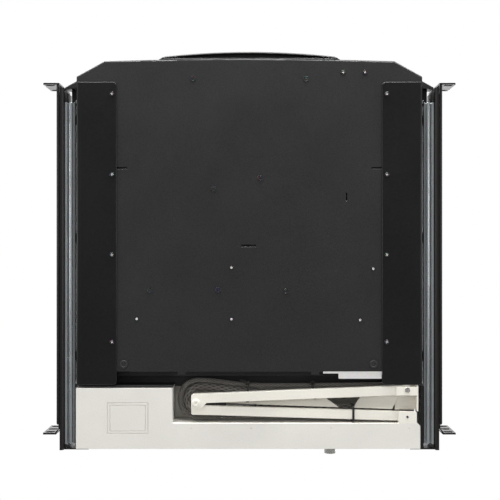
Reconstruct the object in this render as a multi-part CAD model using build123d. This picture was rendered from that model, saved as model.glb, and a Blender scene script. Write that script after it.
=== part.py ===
from build123d import *
import math
import os

# A one-unit rack console drawer: a keyboard tray with a flat screen folded over
# it slides out of a 19 inch rack on two telescopic slides, and a folding cable
# arm follows it. Millimetres. X is right seen from the front, -Y is the front
# and +Z is up. The origin is the centre of the front mounting plane.

# ---- rack interface --------------------------------------------------------
EAR_REACH = 240.0
HALF_HEIGHT = 21.8
HOLE_X = 232.55
HOLE_Z = 15.875
SLOT_HEIGHT = 7.0
SLOT_LENGTH = 11.0
EAR_T = 2.0
REAR_EAR_Y = 409.0

# ---- side stack, distances from the middle plane ----------------------------
SHEET = 1.5
OUTER_WEB = 223.25
OUTER_LIP = 221.25
OUTER_END = 397.5
EAR_ARM = 221.6
EAR_ARM_HALF_Z = 18.6
EAR_ARM_START = 200.0
EAR_ARM_SLOT = (215.0, 398.0)
STANDOFF_Y = (60.0, 150.0, 290.0, 380.0)
RAIL_WEB = 216.5
RAIL_FLANGE = 221.0
RAIL_START = 5.0
RAIL_END = 427.5
SLIDE = (22.0, 421.0)
SLIDE_T = 1.2
OUTER_HALF = 17.5
OUTER_IN = 212.7
MIDDLE_HALF = 17.2
MIDDLE_WEB = 210.2
MIDDLE_OUT = 214.3
MIDDLE_IN = 207.2
MIDDLE_TRACK = 12.8
INNER_HALF = 13.2
INNER_WEB = 204.0
INNER_OUT = 208.2
BALL_R = 0.95
CAGE_T = 0.8
CAGE_Y = (120.0, 330.0)
CAGE_BALLS = 12
OUTER_CAGE = (213.5, 14.85)
INNER_CAGE = (207.9, 14.6)

TAB_HALF_Z = 16.5
TAB_LEG_X = (200.2, 202.4)

# ---- drawer -----------------------------------------------------------------
SIDE_X = 202.0
FLANGE_X = 154.6
SIDE_START = -1.6
SIDE_END = 351.7
BOSS_Y = (40.0, 180.0, 320.0)
FLANGE_Z = -20.5
BRACKET_ROUND = 1.2
PAN_Z = FLANGE_Z + SHEET
PAN_TOP = PAN_Z + SHEET
PAN_X = 198.9
PAN_BEND = 2.0
PAN_REAR = 336.0
REAR_WALL_Y = (352.5, 354.0)
SLOT_ROLL = 1.3
NOSE_Y = -26.2
NOSE_X = 169.0
NOSE_BOW = 2.7
CORNER_X = 201.5
CORNER_Y = -8.3
WING_X = 218.6
FASCIA_BACK = 3.0
FASCIA_TOP = 20.5
WING_Z = -1.0
FASCIA_ROUND = 1.2
STOP_X = (202.4, 212.2)
STOP_Z = (6.4, 16.0)
STOP_END = 21.6
HANDLE_X = 106.0
HANDLE_Y = -38.0
HANDLE_Z = (-14.0, 6.0)
HANDLE_WALL = 1.5
SIDE_SCREW_X = 160.0
SIDE_SCREW_Y = (12.6, 106.5, 200.0, 301.5)
FASCIA_SCREWS = ((109.2, -12.9), (134.9, -12.9))
STUDS = (
    (-65.8, -5.6), (65.9, -5.0), (12.9, 110.4), (-42.0, 122.6),
    (-116.5, 241.4), (-36.7, 241.2), (42.5, 242.6),
)
BOARD_SCREWS = ((-21.0, 215.1), (144.4, 216.3), (-131.4, 274.8), (-21.0, 275.1), (129.1, 276.0))
FEET = ((-146.6, 327.5), (144.7, 327.5))

# ---- keyboard ---------------------------------------------------------------
DECK_X = 190.0
DECK_START = 6.0
DECK_END = 205.0
DECK_TOP = -9.5
KEY_PITCH = 19.0
KEY_GAP = 2.4
KEY_TOP = -4.0
KEY_LIFT = 1.2
KEY_WELL = 1.5
KEY_ROW_Y = 88.0
KEYS_LEFT = -142.5
SPACE_KEYS = (4, 10)
ENTER_KEYS = (13, 15)
PAD_X = 34.0
PAD_Y = (36.0, 76.0)
PAD_BUTTON_Y = (17.0, 33.0)

# ---- lid with the screen ----------------------------------------------------
LID_X = 197.0
LID_START = 5.0
LID_END = 322.0
LID_Z = (0.0, 20.0)
LID_WALL = 2.0
SCREEN_X = 169.0
SCREEN_Y = (16.0, 286.5)
HINGE_Y = 329.0
HINGE_Z = 8.0
HINGE_R = 5.5
HINGE_PIN_R = 3.0
HINGE_X = (120.0, 160.0)
MENU_X = (96.0, 112.0, 128.0)
POWER_X = 152.0
BUTTON_Y = 304.0

# ---- rear enclosure ---------------------------------------------------------
BOX_LEFT = -202.0
BOX_RIGHT = 199.0
BOX_FRONT = 355.4
POCKET_X = -90.0
POCKET_Y = 396.3
BOX_REAR = 426.0
BOX_Z = (-20.5, 19.5)
BOX_WALL = 1.2
COLLAR_X = 95.6
COLLAR_R = 6.85
COLLAR_REACH = 9.0
COLLAR_WALL = 0.95
GROMMET_X = (160.0, 191.0)
GROMMET_Z = (-8.6, 5.0)
VIDEO_X = (-150.0, -116.0)
USB_X = (-80.0, -40.0)
EMBOSS_X = (-165.7, -117.7)
EMBOSS_Y = (372.0, 408.6)
EMBOSS_INSET = 3.0
EMBOSS_DEPTH = 0.35
DIMPLE_X = (-68.0, 2.0, 95.0, 186.0)

# ---- cable arm --------------------------------------------------------------
FIXED_PIVOT = (184.0, 388.8)
DRAWER_PIVOT = (184.0, 357.3)
LINK = 247.0
ARM_T = 1.2
UPPER_Z = (-18.7, -9.3)
LOWER_Z = (-17.2, -10.8)
LINK_WIDTH = 10.6
PIVOT_R = 2.5
OPEN_SLOT = 22.0
HALF_BASE = (FIXED_PIVOT[1] - DRAWER_PIVOT[1]) / 2
ELBOW = (FIXED_PIVOT[0] - math.sqrt(LINK**2 - HALF_BASE**2), FIXED_PIVOT[1] - HALF_BASE)

# ---- cables -----------------------------------------------------------------
THIN_R = 2.75
THICK_R = 5.25
CABLE_FLOOR = -7.3
THIN_Z = CABLE_FLOOR + THIN_R
THICK_Z = CABLE_FLOOR + THICK_R
BOOT_R = 10.3
STRAIGHTEST = 2400.0
THIN_UPPER = [
    (178.0, 352.8), (150.0, 353.6), (112.0, 353.9), (73.0, 354.3), (34.0, 354.5), (-2.0, 354.2), (-22.0, 351.6),
]
THICK_UPPER = [
    (178.0, 360.8), (148.0, 363.6), (112.0, 366.2), (72.0, 366.8), (30.0, 365.4), (2.0, 362.7), (-20.0, 359.8),
]
THIN_ELBOW = [
    THIN_UPPER[-1], (-44.0, 348.74), (-68.8, 347.5), (-82.2, 360.9), (-82.2, 379.4), (-68.8, 392.5),
    (-50.0, 392.7), (-34.0, 392.2),
]
THICK_ELBOW = [
    THICK_UPPER[-1], (-42.0, 356.9), (-65.4, 356.0), (-73.9, 364.6), (-73.9, 376.2), (-65.4, 384.6),
    (-44.0, 384.4), (-24.0, 383.3),
]
THIN_LOWER = [THIN_ELBOW[-1], (-2.0, 391.2), (40.0, 391.7), (80.0, 391.5), (120.0, 391.9), (150.0, 391.7)]
THICK_LOWER = [THICK_ELBOW[-1], (12.0, 381.32), (54.0, 382.5), (94.0, 382.3), (130.0, 381.9), (152.0, 381.4)]
THIN_INLET = [THIN_LOWER[-1], (162.0, 391.62), (169.5, 394.8), (171.8, 401.5)]
THICK_INLET = [THICK_LOWER[-1], (166.0, 381.08), (177.0, 387.0), (181.5, 401.5)]
THIN_DRAWER = [(189.4, 346.6), (189.2, 339.0), (189.4, 331.0)]
THICK_DRAWER = [(180.2, 346.4), (180.4, 339.0), (180.2, 331.0)]


def bar(x, y, z):
    """A box that fills three (from, to) ranges."""
    centre = [(low + high) / 2 for low, high in (x, y, z)]
    size = [abs(high - low) for low, high in (x, y, z)]
    return Pos(*centre) * Box(*size)


def outline(points, radius=0.0):
    face = make_face(Polyline(*points, close=True))
    return fillet(face.vertices(), radius) if radius else face


def fold(points, thickness, bend):
    """The section of a sheet bent along a line of points."""
    line = FilletPolyline(*points, radius=bend + thickness / 2)
    return trace(Wire(line.edges()), line_width=thickness)


def along_y(face, y):
    return extrude(Plane.XZ.offset(-y[1]) * face, y[1] - y[0])


def along_z(face, z):
    return extrude(Plane.XY.offset(z[0]) * face, z[1] - z[0])


def rod_x(x, y, z, radius):
    return Pos((x[0] + x[1]) / 2, y, z) * Rot(0, 90, 0) * Cylinder(radius, x[1] - x[0])


def rod_y(x, y, z, radius):
    return Pos(x, (y[0] + y[1]) / 2, z) * Rot(90, 0, 0) * Cylinder(radius, y[1] - y[0])


def rod_z(x, y, z, radius):
    return Pos(x, y, (z[0] + z[1]) / 2) * Cylinder(radius, z[1] - z[0])


def to_left(shape):
    return shape.mirror(Plane.YZ)


def save(node, *shapes):
    solids = [solid for shape in shapes for solid in shape.solids()]
    body = solids[0] if len(solids) == 1 else Compound(solids)
    export_step(body, f"parts/{node}.step")


def save_pair(node, shape):
    save(f"{node}_right", shape)
    save(f"{node}_left", to_left(shape))


# ---- rails and brackets -----------------------------------------------------
def ear_slot(z, y):
    """A closed horizontal slot centred on one rack hole."""
    half = SLOT_LENGTH / 2 - SLOT_HEIGHT / 2
    slot = bar((HOLE_X - half, HOLE_X + half), y, (z - SLOT_HEIGHT / 2, z + SLOT_HEIGHT / 2))
    for end in (-half, half):
        slot += rod_y(HOLE_X + end, y, z, SLOT_HEIGHT / 2)
    return slot


def front_ear():
    web = OUTER_WEB + SHEET / 2
    edge = HALF_HEIGHT - SHEET / 2
    section = fold([(OUTER_LIP, -edge), (web, -edge), (web, edge), (OUTER_LIP, edge)], SHEET, 1.0)
    channel = along_y(section, (EAR_T / 2, OUTER_END))
    cut = Pos(OUTER_WEB + SHEET, OUTER_END, 0) * Rot(0, 0, 45) * Box(1.8, 1.8, 2 * HALF_HEIGHT + 2)
    ear = bar((OUTER_LIP, EAR_REACH), (0, EAR_T), (-HALF_HEIGHT, HALF_HEIGHT))
    ear = fillet(ear.edges().filter_by(Axis.Y).group_by(Axis.X)[-1], 1.5)
    for z in (-HOLE_Z, HOLE_Z):
        ear -= ear_slot(z, (-1, EAR_T + 1))
    bracket = channel - cut + ear
    for y in STANDOFF_Y:
        bracket -= rod_x((OUTER_WEB - 1, OUTER_WEB + SHEET + 1), y, 0, 2.6)
    return bracket


def rear_ear():
    """The adjustable rear bracket: a long arm with a slot, a gusset and a three-slot ear."""
    middle = EAR_ARM + 0.6
    root = REAR_EAR_Y - EAR_T
    arm = bar((EAR_ARM, EAR_ARM + 1.2), (EAR_ARM_START, root - 4.0), (-EAR_ARM_HALF_Z, EAR_ARM_HALF_Z))
    gusset_face = outline([
        (EAR_ARM, root - 4.0), (EAR_ARM + 1.2, root - 4.0), (EAR_ARM + 5.4, root), (EAR_ARM + 4.2, REAR_EAR_Y),
    ])
    gusset = along_z(gusset_face, (-EAR_ARM_HALF_Z, EAR_ARM_HALF_Z))
    ear = bar((EAR_ARM + 3.4, EAR_REACH), (root, REAR_EAR_Y), (-HALF_HEIGHT, HALF_HEIGHT))
    for z in (-HOLE_Z, 0, HOLE_Z):
        ear -= ear_slot(z, (root - 1, REAR_EAR_Y + 1))
    slot = bar((middle - 2, middle + 2), EAR_ARM_SLOT, (-4.4, 4.4))
    for end in EAR_ARM_SLOT:
        slot += rod_x((middle - 2, middle + 2), end, 0, 4.4)
    return arm + gusset + ear - slot


def rail_bracket():
    """A channel between the slide and the ear bracket, flanges outward."""
    web = RAIL_WEB + SHEET / 2
    edge = 20.0
    section = fold([(RAIL_FLANGE, -edge), (web, -edge), (web, edge), (RAIL_FLANGE, edge)], SHEET, 1.0)
    channel = along_y(section, (RAIL_START, RAIL_END))
    for y in STANDOFF_Y:
        channel -= rod_x((RAIL_WEB - 1, RAIL_WEB + SHEET + 1), y, 0, 2.0)
    return channel


def standoffs():
    """Shouldered spacers that tie the rail bracket to the ear bracket through the arm's slot."""
    posts = []
    for side in (-1, 1):
        for y in STANDOFF_Y:
            post = rod_x((RAIL_WEB + SHEET, OUTER_WEB), y, 0, 4.0)
            post += rod_x((OUTER_WEB, OUTER_WEB + SHEET + 1.0), y, 0, 2.5)
            post += rod_x((RAIL_WEB, RAIL_WEB + SHEET), y, 0, 1.9)
            post += rod_x((OUTER_WEB + SHEET, OUTER_WEB + SHEET + 1.4), y, 0, 4.2)
            posts.append(post if side > 0 else to_left(post))
    return posts


def slide_channel(lip, web, half):
    """One bent slide member, its web upright and its lips level."""
    edge = half - SLIDE_T / 2
    return along_y(fold([(lip, -edge), (web, -edge), (web, edge), (lip, edge)], SLIDE_T, 0.5), SLIDE)


def slide_outer():
    return slide_channel(OUTER_IN, RAIL_WEB - SLIDE_T / 2, OUTER_HALF)


def slide_middle():
    """The middle member: one channel inside the outer member and one round the inner member."""
    body = slide_channel(MIDDLE_IN, MIDDLE_WEB, MIDDLE_HALF)
    for z in (-MIDDLE_TRACK, MIDDLE_TRACK):
        body += bar((MIDDLE_WEB, MIDDLE_OUT), SLIDE, (z - SLIDE_T / 2, z + SLIDE_T / 2))
    return body


def slide_inner():
    tongue = bar((INNER_WEB, INNER_WEB + SLIDE_T), (SLIDE[0] - 4.0, SLIDE[0] + 1.0), (-6.0, 6.0))
    return slide_channel(INNER_OUT, INNER_WEB + SLIDE_T / 2, INNER_HALF) + tongue


def ball_cage(x, z):
    """One strip of a ball cage with its row of balls, for the tracks above and below."""
    pieces = []
    step = (CAGE_Y[1] - CAGE_Y[0]) / CAGE_BALLS
    for track in (-z, z):
        strip = bar((x - 0.9, x + 0.9), CAGE_Y, (track - CAGE_T / 2, track + CAGE_T / 2))
        for index in range(CAGE_BALLS):
            strip += Pos(x, CAGE_Y[0] + step * (index + 0.5), track) * Sphere(BALL_R)
        pieces.append(strip)
    return pieces


def both_sides(pieces):
    return pieces + [to_left(piece) for piece in pieces]


def tie_tabs():
    """The plates behind the enclosure that join it to both rail brackets."""
    back = RAIL_END - SHEET
    high = (-TAB_HALF_Z, TAB_HALF_Z)
    plate = bar((188.0, RAIL_WEB), (back, RAIL_END), high)
    fold_in = bar((RAIL_WEB - SHEET, RAIL_WEB), (SLIDE[1] + 0.6, back), high)
    tabs = []
    for inner in TAB_LEG_X:
        leg = bar((inner, INNER_WEB - 0.5), (SIDE_END + 1.3, RAIL_END), high)
        tabs.append(plate + fold_in + leg)
    return [tabs[0], to_left(tabs[1])]


# ---- drawer -----------------------------------------------------------------
def side_bracket():
    """The L-shaped side of the tray; raised bosses meet the slide's inner member."""
    web = SIDE_X - SHEET / 2
    floor = FLANGE_Z + SHEET / 2
    section = fold([(FLANGE_X, floor), (web, floor), (web, 17.0)], SHEET, 1.5)
    body = along_y(section, (SIDE_START, SIDE_END))
    flange = body.edges().filter_by(Axis.Z).group_by(Axis.X)[0]
    body = fillet(flange, 4.5)
    front_edge = body.edges().group_by(Axis.Z)[0].filter_by(lambda edge: edge.center().Y < SIDE_START + 0.1)
    body = fillet(front_edge, BRACKET_ROUND)
    for y in BOSS_Y:
        body += rod_x((SIDE_X - 0.5, 204.0), y, 0, 6.0)
    for y in SIDE_SCREW_Y:
        body -= rod_z(SIDE_SCREW_X, y, (FLANGE_Z - 1, PAN_Z + 1), 1.6)
    notch_y = (SIDE_START - 1, FASCIA_BACK + 0.3)
    return body - bar((SIDE_X - 3, SIDE_X + 1), notch_y, (WING_Z - 0.3, 2 * FASCIA_TOP))


def nose_line(reach, shift, back):
    """The tray's front: a bowed middle edge between two straight chamfers, closed by a straight back."""
    slope = (CORNER_Y - NOSE_Y) / (CORNER_X - NOSE_X)
    nose = NOSE_Y + shift
    end = nose + (reach - NOSE_X) * slope
    bow = ThreePointArc((-NOSE_X, nose), (0, nose - NOSE_BOW), (NOSE_X, nose))
    rest = Polyline((NOSE_X, nose), (reach, end), (reach, back), (-reach, back), (-reach, end), (-NOSE_X, nose))
    return make_face(bow + rest)


def pan_slot(x, y, long, across):
    """A lanced slot whose rear edge is rolled, as a cut for the tray's floor."""
    rolled = Pos(x, y + across / 2, PAN_Z) * Rot(45, 0, 0) * Box(long, SLOT_ROLL, SLOT_ROLL)
    return Pos(x, y, PAN_Z) * Box(long, across, 4 * SHEET) + rolled


def tray_pan():
    """The tray's floor with its folded front lip, low side walls, lanced slots and rear tabs."""
    nose = along_z(nose_line(CORNER_X, 0, -2.0), (PAN_Z, WING_Z - 1.5))
    bend = nose.edges().group_by(Axis.Z)[0].filter_by(lambda edge: edge.center().Y < CORNER_Y)
    nose = fillet(bend, PAN_BEND)
    nose -= along_z(nose_line(CORNER_X - 1.2, SHEET, 0.0), (PAN_TOP, WING_Z))
    nose -= bar((-PAN_X - 5, PAN_X + 5), (-3.5, 0), (PAN_TOP, WING_Z))
    floor = bar((-PAN_X, PAN_X), (-2.5, PAN_REAR), (PAN_Z, PAN_TOP))
    walls = bar((PAN_X - 1.2, PAN_X), (-3.5, PAN_REAR), (PAN_TOP, -6.0))
    rear = bar((-148.0, 104.0), (PAN_REAR - 1.2, PAN_REAR), (PAN_TOP, -8.0))
    pan = floor + nose + walls + to_left(walls) + rear
    for x in (-79.0, 76.5):
        pan += bar((x - 4.5, x + 4.5), (PAN_REAR - 1, PAN_REAR + 3.6), (PAN_Z, PAN_TOP))
    for x in (-148.8, 148.5):
        pan -= pan_slot(x, 98.5, 12.4, 1.6)
        pan += bar((x - 5.8, x + 5.8), (99.4, 100.6), (PAN_TOP - 0.4, PAN_TOP + 2.4))
    pan -= pan_slot(113.4, 132.0, 1.8, 9.0)
    pan -= pan_slot(-1.1, 189.0, 17.0, 2.0)
    for side in (-1, 1):
        for y in SIDE_SCREW_Y:
            pan -= rod_z(side * SIDE_SCREW_X, y, (PAN_Z - 1, PAN_TOP + 1), 1.6)
    for x, y in FASCIA_SCREWS + STUDS + FEET + BOARD_SCREWS:
        pan -= rod_z(x, y, (PAN_Z - 1, PAN_TOP + 1), 1.5)
    return pan - bar((164.0, PAN_X + 1), (326.0, PAN_REAR + 1), (PAN_Z - 1, PAN_TOP + 1))


def front_fascia():
    """The moulded front: a full-width upper part whose wings hide the slides."""
    body = along_z(nose_line(WING_X, 0, FASCIA_BACK), (WING_Z, FASCIA_TOP))
    edges = body.edges().filter_by(lambda edge: edge.center().Y < CORNER_Y / 2)
    rims = edges.group_by(Axis.Z)
    body = fillet(rims[0] + rims[-1], FASCIA_ROUND)
    body -= along_z(nose_line(WING_X - 4.0, 5.0, FASCIA_BACK + 6), (WING_Z + 3.0, FASCIA_TOP - 3.0))
    block = bar(STOP_X, (FASCIA_BACK - 0.5, STOP_END), STOP_Z)
    return body + block + to_left(block)


def front_handle():
    """A bowed pull bar under the wings, hollow below so that fingers hook behind its front."""
    root = NOSE_Y - NOSE_BOW
    front_y = HANDLE_Y + 5.5
    front_x = HANDLE_X - 6.0
    front = ThreePointArc((-front_x, front_y), (0, HANDLE_Y), (front_x, front_y))
    rest = Polyline((front_x, front_y), (HANDLE_X, root), (-HANDLE_X, root), (-front_x, front_y))
    face = make_face(front + rest)
    body = along_z(face, HANDLE_Z)
    body = chamfer(body.edges().group_by(Axis.Z)[0].sort_by(Axis.Y)[0], 1.2)
    body -= along_z(offset(face, amount=-HANDLE_WALL, kind=Kind.INTERSECTION), (HANDLE_Z[0] - 1, WING_Z - 2.0))
    for x in (-90.0, 90.0):
        nose = NOSE_Y - NOSE_BOW * (1 - (x / NOSE_X) ** 2)
        body += bar((x - 3, x + 3), (root, nose - 0.1), (WING_Z + 1, HANDLE_Z[1] - 1))
    return body


def tray_fasteners():
    """Side screws, fascia screws, pressed studs, board screws and two feet, one solid each."""
    pieces = []
    for side in (-1, 1):
        for y in SIDE_SCREW_Y:
            screw = rod_z(side * SIDE_SCREW_X, y, (FLANGE_Z - 0.9, FLANGE_Z), 2.7)
            screw += rod_z(side * SIDE_SCREW_X, y, (FLANGE_Z, PAN_TOP - 0.1), 1.55)
            pieces.append(screw)
    for x, y in FASCIA_SCREWS + STUDS:
        stud = rod_z(x, y, (PAN_Z - 0.5, PAN_Z), 3.2)
        stud += rod_z(x, y, (PAN_Z, PAN_TOP - 0.1), 1.45)
        pieces.append(stud)
    for x, y in BOARD_SCREWS:
        screw = rod_z(x, y, (PAN_Z - 0.3, PAN_Z), 2.3)
        screw += rod_z(x, y, (PAN_Z, PAN_TOP - 0.1), 1.45)
        pieces.append(screw)
    for x, y in FEET:
        foot = rod_z(x, y, (PAN_Z - 1.2, PAN_Z), 4.7)
        foot += rod_z(x, y, (PAN_Z, PAN_TOP - 0.1), 1.45)
        pieces.append(foot)
    return pieces


# ---- keyboard ---------------------------------------------------------------
def key_box(first, last, row, stem=False):
    """One key cap that covers its places in a row; a stem stands it on the key bed."""
    x = (KEYS_LEFT + first * KEY_PITCH + KEY_GAP / 2, KEYS_LEFT + last * KEY_PITCH - KEY_GAP / 2)
    y = (KEY_ROW_Y + row * KEY_PITCH + KEY_GAP / 2, KEY_ROW_Y + (row + 1) * KEY_PITCH - KEY_GAP / 2)
    cap = bar(x, y, (DECK_TOP + KEY_LIFT, KEY_TOP))
    cap = chamfer(cap.edges().group_by(Axis.Z)[-1], 0.9)
    if stem:
        cap += rod_z(sum(x) / 2, sum(y) / 2, (DECK_TOP - KEY_WELL, DECK_TOP + KEY_LIFT), 3.0)
    return cap


def key_rows():
    """All the keys but the space bar and the enter key; widths follow a standard layout."""
    ends = (ENTER_KEYS[0], 15)
    rows = (
        (0, 1.5, 3, SPACE_KEYS[0], None, SPACE_KEYS[1], 11.5, 13, 14, ends[1]),
        (0, 2.25, 3.25, 4.25, 5.25, 6.25, 7.25, 8.25, 9.25, 10.25, 11.25, 12.25, 14, ends[1]),
        (0, 1.75, 2.75, 3.75, 4.75, 5.75, 6.75, 7.75, 8.75, 9.75, 10.75, 11.75, ends[0]),
        (0, 1.5, 2.5, 3.5, 4.5, 5.5, 6.5, 7.5, 8.5, 9.5, 10.5, 11.5, 12.5, ends[1]),
        (0, 1, 2, 3, 4, 5, 6, 7, 8, 9, 10, 11, 12, 13, ends[1]),
    )
    caps = []
    for row, places in enumerate(rows):
        for first, last in zip(places, places[1:]):
            if first is not None and last is not None:
                caps.append(key_box(first, last, row, stem=True))
    return caps


def keyboard_deck():
    """The moulded palm rest and key bed, with a pocket for the touchpad and wells under the keys."""
    deck = bar((-DECK_X, DECK_X), (DECK_START, DECK_END), (PAN_TOP, DECK_TOP))
    deck -= bar((-DECK_X + 3, DECK_X - 3), (DECK_START + 3, DECK_END - 3), (PAN_TOP - 1, PAN_TOP + 3.5))
    pad_y = (PAD_BUTTON_Y[0] - 0.4, PAD_Y[1] + 0.4)
    deck -= bar((-PAD_X - 0.4, PAD_X + 0.4), pad_y, (DECK_TOP - 3.0, DECK_TOP + 1))
    well_x = (KEYS_LEFT - 1.5, KEYS_LEFT + 15 * KEY_PITCH + 1.5)
    well_y = (KEY_ROW_Y - 1.5, KEY_ROW_Y + 5 * KEY_PITCH + 1.5)
    deck -= bar(well_x, well_y, (DECK_TOP - KEY_WELL, DECK_TOP + 1))
    deck = fillet(deck.edges().filter_by(Axis.Z).group_by(Axis.X)[0], 4.0)
    deck = fillet(deck.edges().filter_by(Axis.Z).group_by(Axis.X)[-1], 4.0)
    return deck


def rear_deck():
    """The plate that closes the tray behind the keyboard, carrying the screen's wiring."""
    top = DECK_TOP - 1.5
    plate = bar((-DECK_X, DECK_X), (DECK_END + 0.5, 316.0), (top - SHEET, top))
    for x in (-150.0, 0.0, 150.0):
        plate += bar((x - 6, x + 6), (DECK_END + 12, 306.0), (PAN_TOP, top - SHEET + 0.2))
    for x in (-60.0, 60.0):
        plate -= Pos(x, 260.0, top) * Box(46.0, 8.0, 6.0)
    return plate


def touch_parts():
    pad = bar((-PAD_X, PAD_X), PAD_Y, (DECK_TOP - 3.0, DECK_TOP - 0.6))
    pad = fillet(pad.edges().filter_by(Axis.Z), 2.5)
    buttons = []
    for x in ((-PAD_X, -0.5), (0.5, PAD_X)):
        button = bar(x, PAD_BUTTON_Y, (DECK_TOP - 1.8, DECK_TOP + 0.2))
        buttons.append(fillet(button.edges().filter_by(Axis.Z), 1.5))
    return pad, buttons


# ---- lid --------------------------------------------------------------------
def lid_back_cover():
    shell = bar((-LID_X, LID_X), (LID_START, LID_END), (LID_Z[0] + 2.0, LID_Z[1]))
    shell = fillet(shell.edges().filter_by(Axis.Z), 5.0)
    shell = chamfer(shell.edges().group_by(Axis.Z)[-1], 1.5)
    inner = bar(
        (-LID_X + LID_WALL, LID_X - LID_WALL),
        (LID_START + LID_WALL, LID_END - LID_WALL),
        (LID_Z[0], LID_Z[1] - LID_WALL),
    )
    shell -= fillet(inner.edges().filter_by(Axis.Z), 3.5)
    for x in (-60.0, 60.0):
        for index in range(7):
            shell -= Pos(x, 250.0 + 6.0 * index, LID_Z[1]) * Box(56.0, 2.4, 4 * LID_WALL)
    return shell


def lid_bezel():
    frame = bar((-LID_X, LID_X), (LID_START, LID_END), (LID_Z[0], LID_Z[0] + 2.0))
    frame = fillet(frame.edges().filter_by(Axis.Z), 5.0)
    frame -= bar((-SCREEN_X, SCREEN_X), SCREEN_Y, (LID_Z[0] - 1, LID_Z[0] + 3))
    for x in MENU_X:
        frame -= Pos(x, BUTTON_Y, LID_Z[0]) * Box(10.6, 5.6, 8)
    frame -= rod_z(POWER_X, BUTTON_Y, (LID_Z[0] - 1, LID_Z[0] + 3), 4.3)
    return frame


def lid_screen():
    glass_y = (SCREEN_Y[0] + 0.1, SCREEN_Y[1] - 0.1)
    glass = bar((-SCREEN_X + 0.1, SCREEN_X - 0.1), glass_y, (LID_Z[0] + 0.6, LID_Z[0] + 2.0))
    module_y = (SCREEN_Y[0] - 6, SCREEN_Y[1] + 6)
    module = bar((-SCREEN_X - 9, SCREEN_X + 9), module_y, (LID_Z[0] + 2.0, LID_Z[0] + 12.0))
    for x in (-SCREEN_X - 5, SCREEN_X + 5):
        for y in (SCREEN_Y[0], SCREEN_Y[1]):
            module += rod_z(x, y, (LID_Z[0] + 12.0, LID_Z[1] - LID_WALL), 3.0)
    return glass, module


def menu_button(x):
    cap = Pos(x, BUTTON_Y, LID_Z[0] + 0.9) * Box(10.0, 5.0, 3.0)
    return fillet(cap.edges().filter_by(Axis.Z), 1.2)


def lid_hinge_arms():
    """Two barrels on plates screwed inside the lid's rear wall."""
    arms = []
    barrel_x = (HINGE_X[0] + 10.3, HINGE_X[1] - 10.3)
    barrel = rod_x(barrel_x, HINGE_Y, HINGE_Z, HINGE_R)
    barrel += bar(barrel_x, (LID_END, HINGE_Y), (HINGE_Z - 2.0, HINGE_Z + 2.0))
    barrel -= rod_x((barrel_x[0] - 1, barrel_x[1] + 1), HINGE_Y, HINGE_Z, HINGE_PIN_R + 0.05)
    arms.append(barrel)
    return both_sides(arms)


def tray_hinge_brackets():
    """Each bracket has a foot on the tray floor and two lugs for the hinge pin."""
    foot = bar(HINGE_X, (HINGE_Y - 8.0, HINGE_Y + 3.5), (PAN_TOP, PAN_TOP + 2.0))
    for x in ((HINGE_X[0], HINGE_X[0] + 10.0), (HINGE_X[1] - 10.0, HINGE_X[1])):
        foot += bar(x, (HINGE_Y - 6.0, HINGE_Y + 3.5), (PAN_TOP, HINGE_Z))
        foot += rod_x(x, HINGE_Y, HINGE_Z, 6.0)
    foot -= rod_x((HINGE_X[0] - 1, HINGE_X[1] + 1), HINGE_Y, HINGE_Z, HINGE_PIN_R)
    return both_sides([foot])


def hinge_pins():
    pin = rod_x((HINGE_X[0] - 1.5, HINGE_X[1] + 1.5), HINGE_Y, HINGE_Z, HINGE_PIN_R)
    return both_sides([pin])


def cable_clamp_plate():
    """The bright plate on the tray's rear edge: a thin finger and a thick clamp bar."""
    plate = bar((104.0, 154.2), (PAN_REAR, 344.5), (PAN_Z + 0.1, PAN_TOP + 0.4))
    plate = fillet(plate.edges().filter_by(Axis.Z).group_by(Axis.Y)[-1], 0.8)
    plate += bar((86.0, 106.0), (PAN_REAR, 338.4), (PAN_Z + 0.1, PAN_TOP))
    plate += bar((152.0, 159.0), (PAN_REAR, 339.5), (PAN_Z + 0.1, PAN_TOP))
    plate += bar((108.0, 150.0), (PAN_REAR, PAN_REAR + 1.2), (PAN_TOP, -10.4))
    return plate


def rear_shelf():
    """A Z-shaped black plate behind the hinges; its left end turns down and closes the tray's rear."""
    ledge_z = (-6.5, -5.0)
    shelf_z = (5.0, 6.5)
    riser_y = (341.6, 343.0)
    part = bar((-PAN_X, 140.0), (PAN_REAR, riser_y[1]), ledge_z)
    part += bar((-140.0, 100.0), (PAN_REAR, PAN_REAR + 1.2), (-16.0, ledge_z[0]))
    part += bar((-PAN_X, 140.0), riser_y, (ledge_z[0], shelf_z[1]))
    part += bar((-200.5, 200.5), (riser_y[0], 351.7), shelf_z)
    part += bar((-200.0, POCKET_X + 2), (riser_y[0], BOX_FRONT - 1.2), shelf_z)
    part += bar((-PAN_X, POCKET_X + 1), REAR_WALL_Y, (PAN_Z + 0.2, shelf_z[1]))
    return part + bar((POCKET_X + 1, 196.0), (riser_y[0], BOX_FRONT + 1.4), shelf_z)


# ---- enclosure --------------------------------------------------------------
def enclosure_face(grow=0.0):
    """The L-shaped plan of the enclosure, grown outward all round."""
    left, right = BOX_LEFT - grow, BOX_RIGHT + grow
    front, rear = BOX_FRONT - grow, BOX_REAR + grow
    step_x, step_y = POCKET_X + grow, POCKET_Y - grow
    chamfer_size = 3.0
    return outline([
        (left, front), (step_x, front), (step_x, step_y), (right - chamfer_size, step_y),
        (right, step_y + chamfer_size), (right, rear), (left, rear),
    ])


def frame_groove(x, y, z, width):
    outer = bar(x, y, z)
    inner = bar((x[0] + width, x[1] - width), (y[0] + width, y[1] - width), z)
    return outer - inner


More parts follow.
